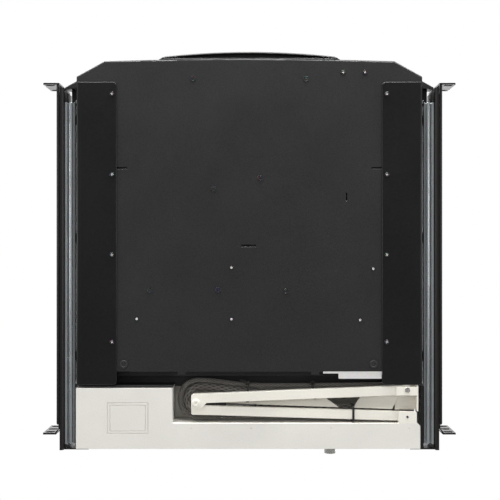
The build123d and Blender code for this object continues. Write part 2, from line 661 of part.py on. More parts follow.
def enclosure_base():
    """The grey sheet box: floor, walls, connector cut-outs and pressed details."""
    top = BOX_Z[1] - BOX_WALL
    body = along_z(enclosure_face(), (BOX_Z[0], top))
    body -= along_z(enclosure_face(-BOX_WALL), (BOX_Z[0] + BOX_WALL, top + 1))
    floor = BOX_Z[0]
    groove_z = (floor - 1, floor + EMBOSS_DEPTH)
    inner_x = (EMBOSS_X[0] + EMBOSS_INSET, EMBOSS_X[1] - EMBOSS_INSET)
    inner_y = (EMBOSS_Y[0] + EMBOSS_INSET, EMBOSS_Y[1] - EMBOSS_INSET)
    body -= frame_groove(EMBOSS_X, EMBOSS_Y, groove_z, 0.9)
    body -= frame_groove(inner_x, inner_y, groove_z, 0.7)
    for x in DIMPLE_X:
        body -= Pos(x, 402.0, floor) * Sphere(0.9)
    rear = (BOX_REAR - 3, BOX_REAR + 1)
    body -= bar(VIDEO_X, rear, (-6.0, 6.0))
    for x in USB_X:
        body -= bar((x - 7.2, x + 7.2), rear, (-4.0, 4.0))
    body -= rod_y(COLLAR_X, rear, 0, COLLAR_R + 0.05)
    body -= bar(GROMMET_X, (POCKET_Y - 1, POCKET_Y + 3), GROMMET_Z)
    for index in range(9):
        body -= Pos(BOX_LEFT, 366.0 + 6.0 * index, 4.0) * Box(6.0, 2.2, 16.0)
    return body


def enclosure_cover():
    """The top plate, which also roofs the pocket that holds the folded arm."""
    plate = bar((BOX_LEFT, BOX_RIGHT), (BOX_FRONT, BOX_REAR), (BOX_Z[1] - BOX_WALL, BOX_Z[1]))
    plate = chamfer(plate.edges().filter_by(Axis.Z), 1.0)
    for x in (-190.0, -100.0, 60.0, 188.0):
        plate += rod_z(x, 418.0, (BOX_Z[1], BOX_Z[1] + 0.9), 2.8)
    return plate


def main_board():
    floor = BOX_Z[0] + BOX_WALL
    board = bar((-196.0, -96.0), (362.0, 420.0), (floor + 5.0, floor + 6.6))
    board += bar((-97.0, 150.0), (402.0, 420.0), (floor + 5.0, floor + 6.6))
    for x, y in ((-190, 368), (-190, 414), (-104, 368), (-60, 411), (40, 411), (140, 411)):
        board += rod_z(x, y, (floor, floor + 5.0), 2.5)
    for x, y, size, tall in ((-170, 392, 22, 3), (-138, 385, 16, 6), (-20, 411, 12, 4), (60, 411, 10, 8)):
        board += Pos(x, y, floor + 6.6 + tall / 2) * Box(size, size, tall)
    return board


def video_port():
    """A flanged connector with a tapered socket and two jack screws."""
    shell = bar((VIDEO_X[0] + 0.4, VIDEO_X[1] - 0.4), (BOX_REAR - 9.0, BOX_REAR + 1.0), (-5.6, 5.6))
    middle = (VIDEO_X[0] + VIDEO_X[1]) / 2
    corners = ((-8.6, 4.2), (8.6, 4.2), (7.4, -4.2), (-7.4, -4.2))
    socket = outline([(middle + x, z) for x, z in corners], 1.5)
    shell -= along_y(socket, (BOX_REAR - 5.0, BOX_REAR + 2))
    for side in (-1, 1):
        shell += rod_y(middle + side * 12.5, (BOX_REAR, BOX_REAR + 1.4), 0, 2.6)
    return shell


def usb_ports():
    ports = []
    for x in USB_X:
        shell = bar((x - 6.9, x + 6.9), (BOX_REAR - 14.0, BOX_REAR + 0.6), (-3.8, 3.8))
        shell -= bar((x - 6.0, x + 6.0), (BOX_REAR - 11.0, BOX_REAR + 2), (-2.9, 2.9))
        shell += bar((x - 5.5, x + 5.5), (BOX_REAR - 12.0, BOX_REAR - 1.0), (1.4, 3.0))
        ports.append(shell)
    return ports


def power_collar():
    """The round locking power inlet: a thin collar with a centre pin."""
    end = BOX_REAR + COLLAR_REACH
    collar = rod_y(COLLAR_X, (BOX_REAR - 8.0, end), 0, COLLAR_R)
    collar -= rod_y(COLLAR_X, (BOX_REAR - 6.0, end + 1.0), 0, COLLAR_R - COLLAR_WALL)
    return collar + rod_y(COLLAR_X, (BOX_REAR - 7.0, end - 2.0), 0, 1.0)


def cable_grommet():
    """The edge guard round the cable hole in the pocket's rear wall."""
    y = (POCKET_Y - 0.6, POCKET_Y + BOX_WALL + 0.8)
    guard = bar(GROMMET_X, y, GROMMET_Z)
    hole_x = (GROMMET_X[0] + 0.9, GROMMET_X[1] - 0.9)
    return guard - bar(hole_x, (y[0] - 1, y[1] + 1), (GROMMET_Z[0] + 0.9, GROMMET_Z[1] - 0.9))


# ---- cable arm --------------------------------------------------------------
def arm_bracket_fixed():
    """A fork on the enclosure's wall with the pin that the lower link turns on."""
    x0, y0 = FIXED_PIVOT
    low = bar((173.8, 194.9), (382.5, POCKET_Y), (FLANGE_Z, FLANGE_Z + SHEET))
    low = fillet(low.edges().filter_by(Axis.Z).group_by(Axis.Y)[0], 2.0)
    high = bar((173.8, 194.9), (384.0, POCKET_Y), (-10.1, -8.9))
    wall = bar((173.8, 194.9), (POCKET_Y - 1.2, POCKET_Y), (FLANGE_Z, -8.9))
    pin = rod_z(x0, y0, (FLANGE_Z, -8.9), PIVOT_R)
    return low + high + wall + pin


def arm_bracket_drawer():
    """A side wall on the tray with a slotted plate over the upper link's free end."""
    x0, y0 = DRAWER_PIVOT
    plate_z = (-9.0, -7.8)
    slot_r = PIVOT_R + 0.6
    wall = bar((195.2, 196.7), (328.0, 382.2), (PAN_Z, plate_z[1]))
    wall += bar((195.2, 196.7), (352.4, 382.2), (FLANGE_Z, plate_z[1]))
    roof = bar((171.2, 196.7), (328.0, 382.2), plate_z)
    slot = bar((x0 - slot_r, x0 + slot_r), (y0 - OPEN_SLOT, y0), (plate_z[0] - 1, plate_z[1] + 1))
    for y in (y0 - OPEN_SLOT, y0):
        slot += rod_z(x0, y, (plate_z[0] - 1, plate_z[1] + 1), slot_r)
    shelf = bar((171.2, 196.7), (353.8, 363.8), (FLANGE_Z, FLANGE_Z + SHEET))
    head = rod_z(x0, y0, (FLANGE_Z - 0.6, FLANGE_Z), 3.2)
    return wall + roof - slot + shelf + head


def link_edge(start, end, width):
    """A straight band from start to end, to the +Y side of the line."""
    return outline([start, end, (end[0], end[1] + width), (start[0], start[1] + width)])


def lower_arm():
    """The link on the fixed pivot: a shallow channel with an eye at each end."""
    x0, y0 = FIXED_PIVOT
    ex, ey = ELBOW
    band = link_edge((-52.0, 376.4), (168.0, 382.9), LINK_WIDTH)
    tip = outline([(-68.0, 376.6), (-68.0, 386.9), (-48.0, 387.2), (-48.0, 376.4)], 2.4)
    eye = outline([(166.0, 383.0), (x0, y0 - 5.2), (x0, y0 + 5.2), (166.0, 393.3)])
    body = along_z(band, LOWER_Z) + along_z(tip, LOWER_Z) + along_z(eye, LOWER_Z)
    body += rod_z(x0, y0, LOWER_Z, 5.2)
    body += rod_z(ex, ey, LOWER_Z, 5.4)
    channel = link_edge((-44.0, 377.9), (164.0, 384.3), LINK_WIDTH - 3.0)
    body -= along_z(channel, (LOWER_Z[0] + ARM_T, LOWER_Z[1] + 1))
    body += rod_z(ex, ey, (UPPER_Z[0] - 0.5, UPPER_Z[1] + 0.5), PIVOT_R)
    return body - rod_z(x0, y0, (LOWER_Z[0] - 1, LOWER_Z[1] + 1), PIVOT_R + 0.05)


def upper_arm():
    """The link on the drawer: near strip, front wall and a wide far plate with a window."""
    x0, y0 = DRAWER_PIVOT
    ex, ey = ELBOW
    near_z = (UPPER_Z[0], UPPER_Z[0] + ARM_T)
    far_z = (UPPER_Z[1] - ARM_T, UPPER_Z[1])
    near = link_edge((-66.5, 363.0), (176.0, 352.9), LINK_WIDTH)
    near_tip = outline([(-68.0, 362.9), (-50.0, 362.2), (-50.0, 373.2), (-57.0, 379.0), (-68.0, 381.0)], 2.4)
    far = outline([
        (-66.5, 363.0), (176.0, 352.9), (176.0, 363.6), (168.0, 381.4),
        (20.0, 376.4), (-50.0, 372.9), (-66.5, 373.5),
    ])
    window = outline([(90.0, 368.6), (130.0, 367.6), (121.5, 380.5), (107.0, 380.5)])
    front = outline([(-40.0, 361.9), (170.0, 353.15), (170.0, 354.35), (-40.0, 363.1)])
    body = along_z(near, near_z) + along_z(near_tip, near_z) + along_z(far, far_z)
    body -= along_z(window, (far_z[0] - 1, far_z[1] + 1))
    body += along_z(front, UPPER_Z)
    for z in (near_z, far_z):
        body += rod_z(ex, ey, z, 5.4)
        body -= rod_z(ex, ey, (z[0] - 1, z[1] + 1), PIVOT_R + 0.05)
    eye = outline([(168.0, 353.2), (x0, y0 - 5.6), (x0, y0 + 5.6), (168.0, 363.3)])
    body += along_z(eye, UPPER_Z)
    body += rod_z(x0, y0, UPPER_Z, 5.6)
    return body + rod_z(x0, y0, (UPPER_Z[1], CABLE_FLOOR), PIVOT_R)


# ---- cables held by the arm -------------------------------------------------
def tube(points, z, radius):
    """A cable of straight runs and tangent arcs, each arc as large as its runs allow."""
    path = [Vector(x, y, z) for x, y in points]
    radii = []
    for before, here, after in zip(path, path[1:], path[2:]):
        turn = math.radians((here - before).get_angle(after - here))
        run = min((here - before).length, (after - here).length)
        radii.append(min(0.45 * run / math.tan(turn / 2), STRAIGHTEST))
    line = FilletPolyline(*path, radius=radii) if radii else Polyline(*path)
    wire = Wire(line.edges())
    body = sweep(Plane(path[0], z_dir=path[1] - path[0]) * Circle(radius), path=wire)
    ratio = body.volume / (math.pi * radius**2 * wire.length)
    print("cable radii", [round(value, 1) for value in radii], "volume ratio", round(ratio, 4))
    return body


def cable_pair(thin, thick):
    return [tube(thin, THIN_Z, THIN_R), tube(thick, THICK_Z, THICK_R)]


def cable_boot():
    """A rubber swivel guide round both cables over the drawer pivot."""
    x0, y0 = DRAWER_PIVOT
    boot = rod_z(x0, y0, (CABLE_FLOOR, THICK_Z + THICK_R + 0.8), BOOT_R)
    return chamfer(boot.edges().filter_by(GeomType.CIRCLE).group_by(Axis.Z)[-1], 1.5)


def main():
    os.makedirs("parts", exist_ok=True)
    save_pair("front_ear", front_ear())
    save_pair("rear_ear", rear_ear())
    save_pair("rail_bracket", rail_bracket())
    save("standoffs", *standoffs())
    save_pair("slide_outer", slide_outer())
    save_pair("slide_middle", slide_middle())
    save_pair("slide_inner", slide_inner())
    save("ball_cages_outer", *both_sides(ball_cage(*OUTER_CAGE)))
    save("ball_cages_inner", *both_sides(ball_cage(*INNER_CAGE)))
    save("tie_tabs", *tie_tabs())
    save_pair("side_bracket", side_bracket())
    save("tray_pan", tray_pan())
    save("front_fascia", front_fascia())
    save("front_handle", front_handle())
    save("tray_fasteners", *tray_fasteners())
    save("keyboard_deck", keyboard_deck())
    save("key_rows", *key_rows())
    save("space_bar", key_box(*SPACE_KEYS, 0))
    save("enter_key", key_box(*ENTER_KEYS, 2))
    save("rear_deck", rear_deck())
    pad, buttons = touch_parts()
    save("touchpad", pad)
    save("touchpad_button_left", buttons[0])
    save("touchpad_button_right", buttons[1])
    save("lid_back_cover", lid_back_cover())
    save("lid_bezel", lid_bezel())
    glass, module = lid_screen()
    save("lcd_glass", glass)
    save("lcd_module", module)
    for index, x in enumerate(MENU_X):
        save(f"menu_button_{index + 1}", menu_button(x))
    save("power_button", rod_z(POWER_X, BUTTON_Y, (LID_Z[0] - 0.6, LID_Z[0] + 2.4), 4.0))
    save("lid_hinge_arms", *lid_hinge_arms())
    save("tray_hinge_brackets", *tray_hinge_brackets())
    save("hinge_pins", *hinge_pins())
    save("cable_clamp_plate", cable_clamp_plate())
    save("rear_shelf", rear_shelf())
    save("enclosure_base", enclosure_base())
    save("enclosure_cover", enclosure_cover())
    save("main_board", main_board())
    save("video_port", video_port())
    save("usb_ports", *usb_ports())
    save("power_collar", power_collar())
    save("cable_grommet", cable_grommet())
    save("arm_bracket_fixed", arm_bracket_fixed())
    save("arm_bracket_drawer", arm_bracket_drawer())
    save("lower_arm", lower_arm())
    save("upper_arm", upper_arm())
    save("cable_boot", cable_boot())
    save("cable_upper", *cable_pair(THIN_UPPER, THICK_UPPER))
    save("cable_elbow", *cable_pair(THIN_ELBOW, THICK_ELBOW))
    save("cable_lower", *cable_pair(THIN_LOWER, THICK_LOWER))
    save("cable_inlet", *cable_pair(THIN_INLET, THICK_INLET))
    save("cable_drawer", *cable_pair(THIN_DRAWER, THICK_DRAWER))


main()
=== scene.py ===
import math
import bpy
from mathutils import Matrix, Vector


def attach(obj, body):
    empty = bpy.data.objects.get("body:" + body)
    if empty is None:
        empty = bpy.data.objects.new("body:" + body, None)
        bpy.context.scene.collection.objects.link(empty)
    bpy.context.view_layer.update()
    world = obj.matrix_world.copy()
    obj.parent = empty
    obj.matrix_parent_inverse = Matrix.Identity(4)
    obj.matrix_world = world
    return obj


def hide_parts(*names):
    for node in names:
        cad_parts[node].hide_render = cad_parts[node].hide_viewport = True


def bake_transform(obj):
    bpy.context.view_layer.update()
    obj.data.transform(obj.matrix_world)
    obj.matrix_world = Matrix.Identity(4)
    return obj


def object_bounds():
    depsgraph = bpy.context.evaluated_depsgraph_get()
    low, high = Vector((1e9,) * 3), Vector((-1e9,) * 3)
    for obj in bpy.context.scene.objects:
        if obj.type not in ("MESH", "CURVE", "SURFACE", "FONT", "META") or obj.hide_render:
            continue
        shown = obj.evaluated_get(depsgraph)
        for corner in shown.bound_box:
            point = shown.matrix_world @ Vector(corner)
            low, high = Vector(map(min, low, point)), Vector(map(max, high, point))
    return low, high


bl_info = {
    "name": "Rack console drawer",
    "version": (1, 0, 0),
    "blender": (4, 5, 0),
    "location": "View3D > Sidebar > Rack Console",
    "description": "Finishes a closed one-unit rack console drawer and adds its cables and small hardware",
    "category": "Object",
}

import bmesh
import bpy
from mathutils import Vector

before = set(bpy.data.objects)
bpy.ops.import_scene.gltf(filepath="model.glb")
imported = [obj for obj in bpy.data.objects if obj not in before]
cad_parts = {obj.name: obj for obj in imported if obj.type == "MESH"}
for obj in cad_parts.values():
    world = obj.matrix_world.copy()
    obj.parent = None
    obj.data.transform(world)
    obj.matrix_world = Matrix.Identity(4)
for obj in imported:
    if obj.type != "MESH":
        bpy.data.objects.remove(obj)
CAD_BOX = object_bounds()
MM = 0.001


# ---- sizes and colours that a user would change ------------------------------
class ConsoleFinish(bpy.types.PropertyGroup):
    pan_black: bpy.props.FloatVectorProperty(
        name="Tray black", description="Textured powder coat of the tray floor and lid",
        subtype="COLOR", size=3, min=0.0, max=1.0, default=(0.0135, 0.0135, 0.0138))
    bracket_black: bpy.props.FloatVectorProperty(
        name="Bracket black", description="Smooth paint of the side brackets and ears",
        subtype="COLOR", size=3, min=0.0, max=1.0, default=(0.006, 0.006, 0.0063))
    rail_black: bpy.props.FloatVectorProperty(
        name="Rail black", description="Warm black of the rail brackets",
        subtype="COLOR", size=3, min=0.0, max=1.0, default=(0.009, 0.008, 0.0075))
    enclosure_grey: bpy.props.FloatVectorProperty(
        name="Enclosure grey", description="Warm light grey of the rear enclosure",
        subtype="COLOR", size=3, min=0.0, max=1.0, default=(0.78, 0.76, 0.71))
    arm_cream: bpy.props.FloatVectorProperty(
        name="Arm cream", description="Cream paint of the folding cable arm",
        subtype="COLOR", size=3, min=0.0, max=1.0, default=(0.86, 0.83, 0.75))
    zinc: bpy.props.FloatVectorProperty(
        name="Zinc", description="Bright plating of the telescopic slides",
        subtype="COLOR", size=3, min=0.0, max=1.0, default=(0.60, 0.64, 0.66))
    edge_radius: bpy.props.FloatProperty(
        name="Edge radius", description="Softness of the painted sheet edges",
        subtype="DISTANCE", unit="LENGTH", min=0.0, default=0.00045)


class CableSizes(bpy.types.PropertyGroup):
    thin_radius: bpy.props.FloatProperty(
        name="Thin sleeve radius", description="Radius of the thin braided sleeve",
        subtype="DISTANCE", unit="LENGTH", min=0.001, default=0.00275)
    thick_radius: bpy.props.FloatProperty(
        name="Thick sleeve radius", description="Radius of the thick braided sleeve",
        subtype="DISTANCE", unit="LENGTH", min=0.001, default=0.00525)
    thin_height: bpy.props.FloatProperty(
        name="Thin sleeve height", description="Height of the thin sleeve's middle line",
        subtype="DISTANCE", unit="LENGTH", default=-0.00455)
    thick_height: bpy.props.FloatProperty(
        name="Thick sleeve height", description="Height of the thick sleeve's middle line",
        subtype="DISTANCE", unit="LENGTH", default=-0.00205)
    tie_thickness: bpy.props.FloatProperty(
        name="Tie thickness", description="Thickness of a cable tie's band",
        subtype="DISTANCE", unit="LENGTH", min=0.0002, default=0.0009)


def finish_settings():
    return bpy.context.scene.console_finish


def cable_settings():
    return bpy.context.scene.console_cables


# ---- the shared way to write a material ---------------------------------------
def add_node(tree, kind, links=None, **settings):
    """Adds a node, with its settings and its inputs given as values or as sockets."""
    node = tree.nodes.new(kind)
    for key, value in settings.items():
        setattr(node, key, value)
    for key, value in (links or {}).items():
        socket = node.inputs[key]
        if isinstance(value, bpy.types.NodeSocket):
            tree.links.new(value, socket)
        else:
            socket.default_value = value
    return node


def blank_material(name):
    material = bpy.data.materials.new(name)
    material.use_nodes = True
    tree = material.node_tree
    tree.nodes.clear()
    output = tree.nodes.new("ShaderNodeOutputMaterial")
    shader = tree.nodes.new("ShaderNodeBsdfPrincipled")
    tree.links.new(shader.outputs["BSDF"], output.inputs["Surface"])
    return material, tree, shader


def place_coordinates(tree, stretch=(1.0, 1.0, 1.0)):
    where = add_node(tree, "ShaderNodeTexCoord")
    turn = add_node(tree, "ShaderNodeMapping", {"Vector": where.outputs["Object"], "Scale": stretch})
    return turn.outputs["Vector"]


def noise(tree, vector, scale, detail=3.0, roughness=0.55):
    node = add_node(tree, "ShaderNodeTexNoise", {
        "Vector": vector, "Scale": scale, "Detail": detail, "Roughness": roughness})
    return node.outputs["Fac"]


def spread(tree, value, low, high, to_low=0.0, to_high=1.0):
    node = add_node(tree, "ShaderNodeMapRange", {
        "Value": value, "From Min": low, "From Max": high, "To Min": to_low, "To Max": to_high})
    return node.outputs["Result"]


def blend_colour(tree, share, first, second):
    node = add_node(tree, "ShaderNodeMix", data_type="RGBA")
    for socket, value in ((node.inputs[0], share), (node.inputs[6], first), (node.inputs[7], second)):
        if isinstance(value, bpy.types.NodeSocket):
            tree.links.new(value, socket)
        elif isinstance(value, float):
            socket.default_value = value
        else:
            socket.default_value = (*value, 1.0)
    return node.outputs[2]


def maths(tree, operation, *values):
    return add_node(tree, "ShaderNodeMath", dict(enumerate(values)), operation=operation).outputs["Value"]


def times(tree, first, second):
    return maths(tree, "MULTIPLY", first, second)


def plus(tree, first, second):
    return maths(tree, "ADD", first, second)


def add_bump(tree, shader, strength, distance, height, **more):
    bump = add_node(tree, "ShaderNodeBump", {
        "Strength": strength, "Distance": distance, "Height": height, **more})
    tree.links.new(bump.outputs["Normal"], shader.inputs["Normal"])


def rounded_normal(tree, radius):
    return add_node(tree, "ShaderNodeBevel", {"Radius": radius}, samples=4).outputs["Normal"]


def edge_share(tree, soft_normal):
    """Near 1 on a sheet's sharp edges and 0 on its flats."""
    flat = add_node(tree, "ShaderNodeNewGeometry").outputs["Normal"]
    node = add_node(tree, "ShaderNodeVectorMath", {0: soft_normal, 1: flat}, operation="DOT_PRODUCT")
    return spread(tree, node.outputs["Value"], 0.99, 0.80)


def shade_socket(tree, colour, factor):
    node = add_node(tree, "ShaderNodeVectorMath", {0: colour, "Scale": factor}, operation="SCALE")
    return node.outputs["Vector"]


def shade(shade_factor, colour):
    return tuple(shade_factor * part for part in colour)


# ---- the finishes ----------------------------------------------------------------
def powder_coat(name, colour, grain, depth, roughness, edge, wear=0.25, worn=2.6, contrast=1.0, gloss=0.5):
    """Baked powder coat: fine orange-peel grain with a painted highlight on its raised points, faint clouds, rubbed
    lighter edges and dust specks.
    """
    material, tree, shader = blank_material(name)
    place = place_coordinates(tree)
    fine = noise(tree, place, grain, 2.0)
    pebbles = noise(tree, place, grain * 0.45, 1.0)
    clouds = noise(tree, place, 14.0, 4.0)
    scuffs = noise(tree, place, 220.0, 5.0, 0.7)
    specks = add_node(tree, "ShaderNodeTexVoronoi", {"Vector": place, "Scale": 260.0}).outputs["Distance"]
    soft = rounded_normal(tree, edge)
    rim = times(tree, edge_share(tree, soft), spread(tree, scuffs, 0.35, 0.62, 0.0, wear))
    tone = blend_colour(tree, spread(tree, clouds, 0.3, 0.7), shade(0.96, colour), shade(1.04, colour))
    darker = shade_socket(tree, tone, 1.0 - 0.2 * contrast)
    lighter = shade_socket(tree, tone, 1.0 + 0.2 * contrast)
    tone = blend_colour(tree, spread(tree, pebbles, 0.35, 0.65), darker, lighter)
    # painted highlight: the raised points of the fine grain, from the same noise that drives the bump, are painted
    # lighter
    tone = blend_colour(tree, spread(tree, fine, 0.42, 0.66, 0.0, 0.35 * contrast), tone, shade(1.7, colour))
    tone = blend_colour(tree, rim, tone, shade(worn, colour))
    tone = blend_colour(tree, spread(tree, specks, 0.05, 0.0, 0.0, 0.5 * contrast), tone, shade(2.2, colour))
    tree.links.new(tone, shader.inputs["Base Color"])
    shader.inputs["Specular IOR Level"].default_value = gloss
    tree.links.new(spread(tree, clouds, 0.25, 0.75, roughness - 0.05, roughness + 0.07), shader.inputs["Roughness"])
    add_bump(tree, shader, 0.6, depth, fine, Normal=soft)
    return material


def brushed_metal(name, colour, roughness, stretch, edge=0.0003, clouds_share=0.5, dull=0.72, metal=1.0):
    """Plated or brushed steel: long fine lines along one axis, faint clouds and dulled edges."""
    material, tree, shader = blank_material(name)
    place = place_coordinates(tree)
    lines_place = place_coordinates(tree, stretch)
    lines = noise(tree, lines_place, 900.0, 3.0)
    scratches = noise(tree, lines_place, 160.0, 5.0, 0.75)
    clouds = noise(tree, place, 38.0, 4.0)
    spangle = add_node(tree, "ShaderNodeTexVoronoi", {"Vector": place, "Scale": 420.0}).outputs["Color"]
    soft = rounded_normal(tree, edge)
    tone = blend_colour(tree, spread(tree, clouds, 0.3, 0.7, 0.0, clouds_share), colour, shade(dull, colour))
    tone = blend_colour(tree, spread(tree, scratches, 0.55, 0.72, 0.0, 0.3), tone, shade(0.6, colour))
    tone = blend_colour(tree, 0.06, tone, spangle)
    tree.links.new(tone, shader.inputs["Base Color"])
    shader.inputs["Metallic"].default_value = metal
    rough = spread(tree, lines, 0.3, 0.7, roughness - 0.06, roughness + 0.1)
    tree.links.new(rough, shader.inputs["Roughness"])
    add_bump(tree, shader, 0.25, 0.00004, lines, Normal=soft)
    return material


def moulded_plastic(name, colour, grain, depth, roughness, edge=0.0009, peak_highlight=1.5):
    """Spark-eroded moulding texture with painted highlights on its raised spots and on its edges, whose roughness
    is slightly lower.
    """
    material, tree, shader = blank_material(name)
    place = place_coordinates(tree)
    cells = add_node(tree, "ShaderNodeTexVoronoi", {"Vector": place, "Scale": grain}).outputs["Distance"]
    fine = noise(tree, place, grain * 0.7, 4.0)
    clouds = noise(tree, place, 20.0, 3.0)
    soft = rounded_normal(tree, edge)
    rim = edge_share(tree, soft)
    height = plus(tree, times(tree, cells, 0.6), times(tree, fine, 0.7))
    tone = blend_colour(tree, spread(tree, clouds, 0.3, 0.7), shade(0.88, colour), shade(1.12, colour))
    # painted highlight: the texture's raised spots, from the same height that drives the bump, are painted lighter
    tone = blend_colour(tree, spread(tree, height, 0.4, 0.9, 0.0, 0.4), tone, shade(peak_highlight, colour))
    # painted highlight: every sharp edge is painted up to twice as light; only the lower roughness there is a real
    # polish
    tone = blend_colour(tree, times(tree, rim, 0.35), tone, shade(2.0, colour))
    tree.links.new(tone, shader.inputs["Base Color"])
    rough = plus(tree, spread(tree, fine, 0.3, 0.7, roughness - 0.05, roughness + 0.06), times(tree, rim, -0.08))
    tree.links.new(rough, shader.inputs["Roughness"])
    add_bump(tree, shader, 0.5, depth, height, Normal=soft)
    return material


def braided_sleeve(name, colour, fleck):
    """Expandable braid: two sets of flat strands crossing in a basket weave, read from the sleeve's own map, with
    painted highlights on the strands and painted shade between them.
    """
    material, tree, shader = blank_material(name)
    where = add_node(tree, "ShaderNodeTexCoord").outputs["UV"]
    split = add_node(tree, "ShaderNodeSeparateXYZ", {"Vector": where})
    along, around = split.outputs["X"], split.outputs["Y"]
    strands = []
    for side in (1.0, -1.0):
        phase = plus(tree, times(tree, along, 1.0), times(tree, around, 8.0 * side))
        strands.append(maths(tree, "SINE", times(tree, phase, math.tau)))
    over = maths(tree, "MAXIMUM", *strands)
    cross = maths(tree, "MINIMUM", *strands)
    height = plus(tree, times(tree, over, 0.7), times(tree, cross, 0.3))
    fuzz = noise(tree, place_coordinates(tree), 2600.0, 3.0)
    # painted highlight on the strand tops and painted shade in the gaps between strands, from the same height that
    # drives the bump
    tone = blend_colour(tree, spread(tree, height, -0.9, 0.9), shade(0.1, colour), shade(3.6, colour))
    tone = blend_colour(tree, spread(tree, fuzz, 0.56, 0.7, 0.0, 0.75), tone, fleck)
    tree.links.new(tone, shader.inputs["Base Color"])
    tree.links.new(spread(tree, fuzz, 0.3, 0.7, 0.38, 0.55), shader.inputs["Roughness"])
    shader.inputs["Sheen Weight"].default_value = 0.15
    shader.inputs["Sheen Roughness"].default_value = 0.4
    add_bump(tree, shader, 0.9, 0.0004, height)
    return material


def screen_glass(name):
    """Anti-glare dark panel: near-black with the faintest cell structure under a matte coat."""
    material, tree, shader = blank_material(name)
    place = place_coordinates(tree)
    cells = add_node(tree, "ShaderNodeTexBrick", {
        "Vector": place, "Color1": (0.006, 0.007, 0.009, 1.0), "Color2": (0.007, 0.008, 0.011, 1.0),
        "Mortar": (0.003, 0.003, 0.004, 1.0), "Scale": 900.0, "Mortar Size": 0.04})
    smears = noise(tree, place, 18.0, 4.0)
    tree.links.new(cells.outputs["Color"], shader.inputs["Base Color"])
    tree.links.new(spread(tree, smears, 0.3, 0.7, 0.16, 0.3), shader.inputs["Roughness"])
    shader.inputs["Coat Weight"].default_value = 0.35
    shader.inputs["Coat Roughness"].default_value = 0.12
    haze = noise(tree, place, 2200.0, 2.0)
    add_bump(tree, shader, 0.15, 0.00003, haze)
    return material


def circuit_board(name):
    """Green solder mask with copper tracks showing through as paler lines."""
    material, tree, shader = blank_material(name)
    place = place_coordinates(tree)
    tracks = add_node(tree, "ShaderNodeTexBrick", {
        "Vector": place, "Color1": (0.012, 0.11, 0.045, 1.0), "Color2": (0.018, 0.15, 0.06, 1.0),
        "Mortar": (0.05, 0.26, 0.11, 1.0), "Scale": 170.0, "Mortar Size": 0.035})
    speck = noise(tree, place, 700.0, 3.0)
    tone = blend_colour(tree, spread(tree, speck, 0.62, 0.7, 0.0, 0.7), tracks.outputs["Color"], (0.55, 0.5, 0.4))
    tree.links.new(tone, shader.inputs["Base Color"])
    tree.links.new(spread(tree, speck, 0.3, 0.7, 0.28, 0.42), shader.inputs["Roughness"])
    add_bump(tree, shader, 0.3, 0.0001, tracks.outputs["Fac"])
    return material


def make_finishes():
    tint = finish_settings()
    edge = tint.edge_radius
    return {
        "tray_coat": powder_coat(
            "tray_powder_coat", tuple(tint.pan_black), 1500.0, 0.00018, 0.46, edge,
            contrast=1.7, gloss=0.42),
        "bracket_paint": powder_coat(
            "bracket_paint", tuple(tint.bracket_black), 900.0, 0.00005, 0.36, edge, worn=4.0, gloss=0.28),
        "rail_paint": powder_coat(
            "rail_paint", tuple(tint.rail_black), 1100.0, 0.00008, 0.42, edge, worn=3.0, gloss=0.35),
        "enclosure_coat": powder_coat(
            "enclosure_powder_coat", tuple(tint.enclosure_grey), 1300.0, 0.00004, 0.5, edge,
            wear=0.15, worn=1.2, contrast=0.1),
        "cream_coat": powder_coat(
            "cream_paint", tuple(tint.arm_cream), 1200.0, 0.00003, 0.4, edge,
            wear=0.2, worn=1.1, contrast=0.08),
        "slide_zinc": brushed_metal("slide_zinc", tuple(tint.zinc), 0.3, (12.0, 0.35, 12.0)),
        "nickel": brushed_metal("satin_nickel", (0.74, 0.72, 0.69), 0.24, (1.0, 1.0, 1.0), 0.0002, 0.3, 0.85),
        "zinc_sheet": brushed_metal("zinc_sheet", (0.68, 0.69, 0.70), 0.36, (0.6, 6.0, 6.0)),
        # light satin that is only one fifth metal: a painted reflection that keeps the cable clamp plate and the
        # screw inserts bright
        "clamp_satin": brushed_metal(
            "clamp_satin", (0.80, 0.79, 0.77), 0.42, (0.6, 6.0, 6.0), 0.0003, 0.2, 0.85, 0.2),
        "black_oxide": brushed_metal(
            "black_oxide", (0.055, 0.055, 0.058), 0.34, (1.0, 1.0, 1.0), 0.0003, 0.5, 0.6),
        "moulded_black": moulded_plastic("moulded_black", (0.013, 0.013, 0.014), 1900.0, 0.00009, 0.44),
        "key_satin": moulded_plastic("key_satin", (0.020, 0.020, 0.021), 2600.0, 0.00004, 0.36),
        "button_gloss": moulded_plastic("button_satin", (0.03, 0.03, 0.032), 2800.0, 0.00003, 0.28),
        "rubber": moulded_plastic("soft_rubber", (0.014, 0.014, 0.014), 2100.0, 0.00008, 0.62),
        "tie_nylon": moulded_plastic("tie_nylon", (0.016, 0.015, 0.014), 1500.0, 0.00004, 0.33, 0.0002),
        "braid": braided_sleeve("braided_sleeve", (0.048, 0.045, 0.041), (0.42, 0.39, 0.34)),
        "screen": screen_glass("screen_glass"),
        "board": circuit_board("circuit_board"),
    }


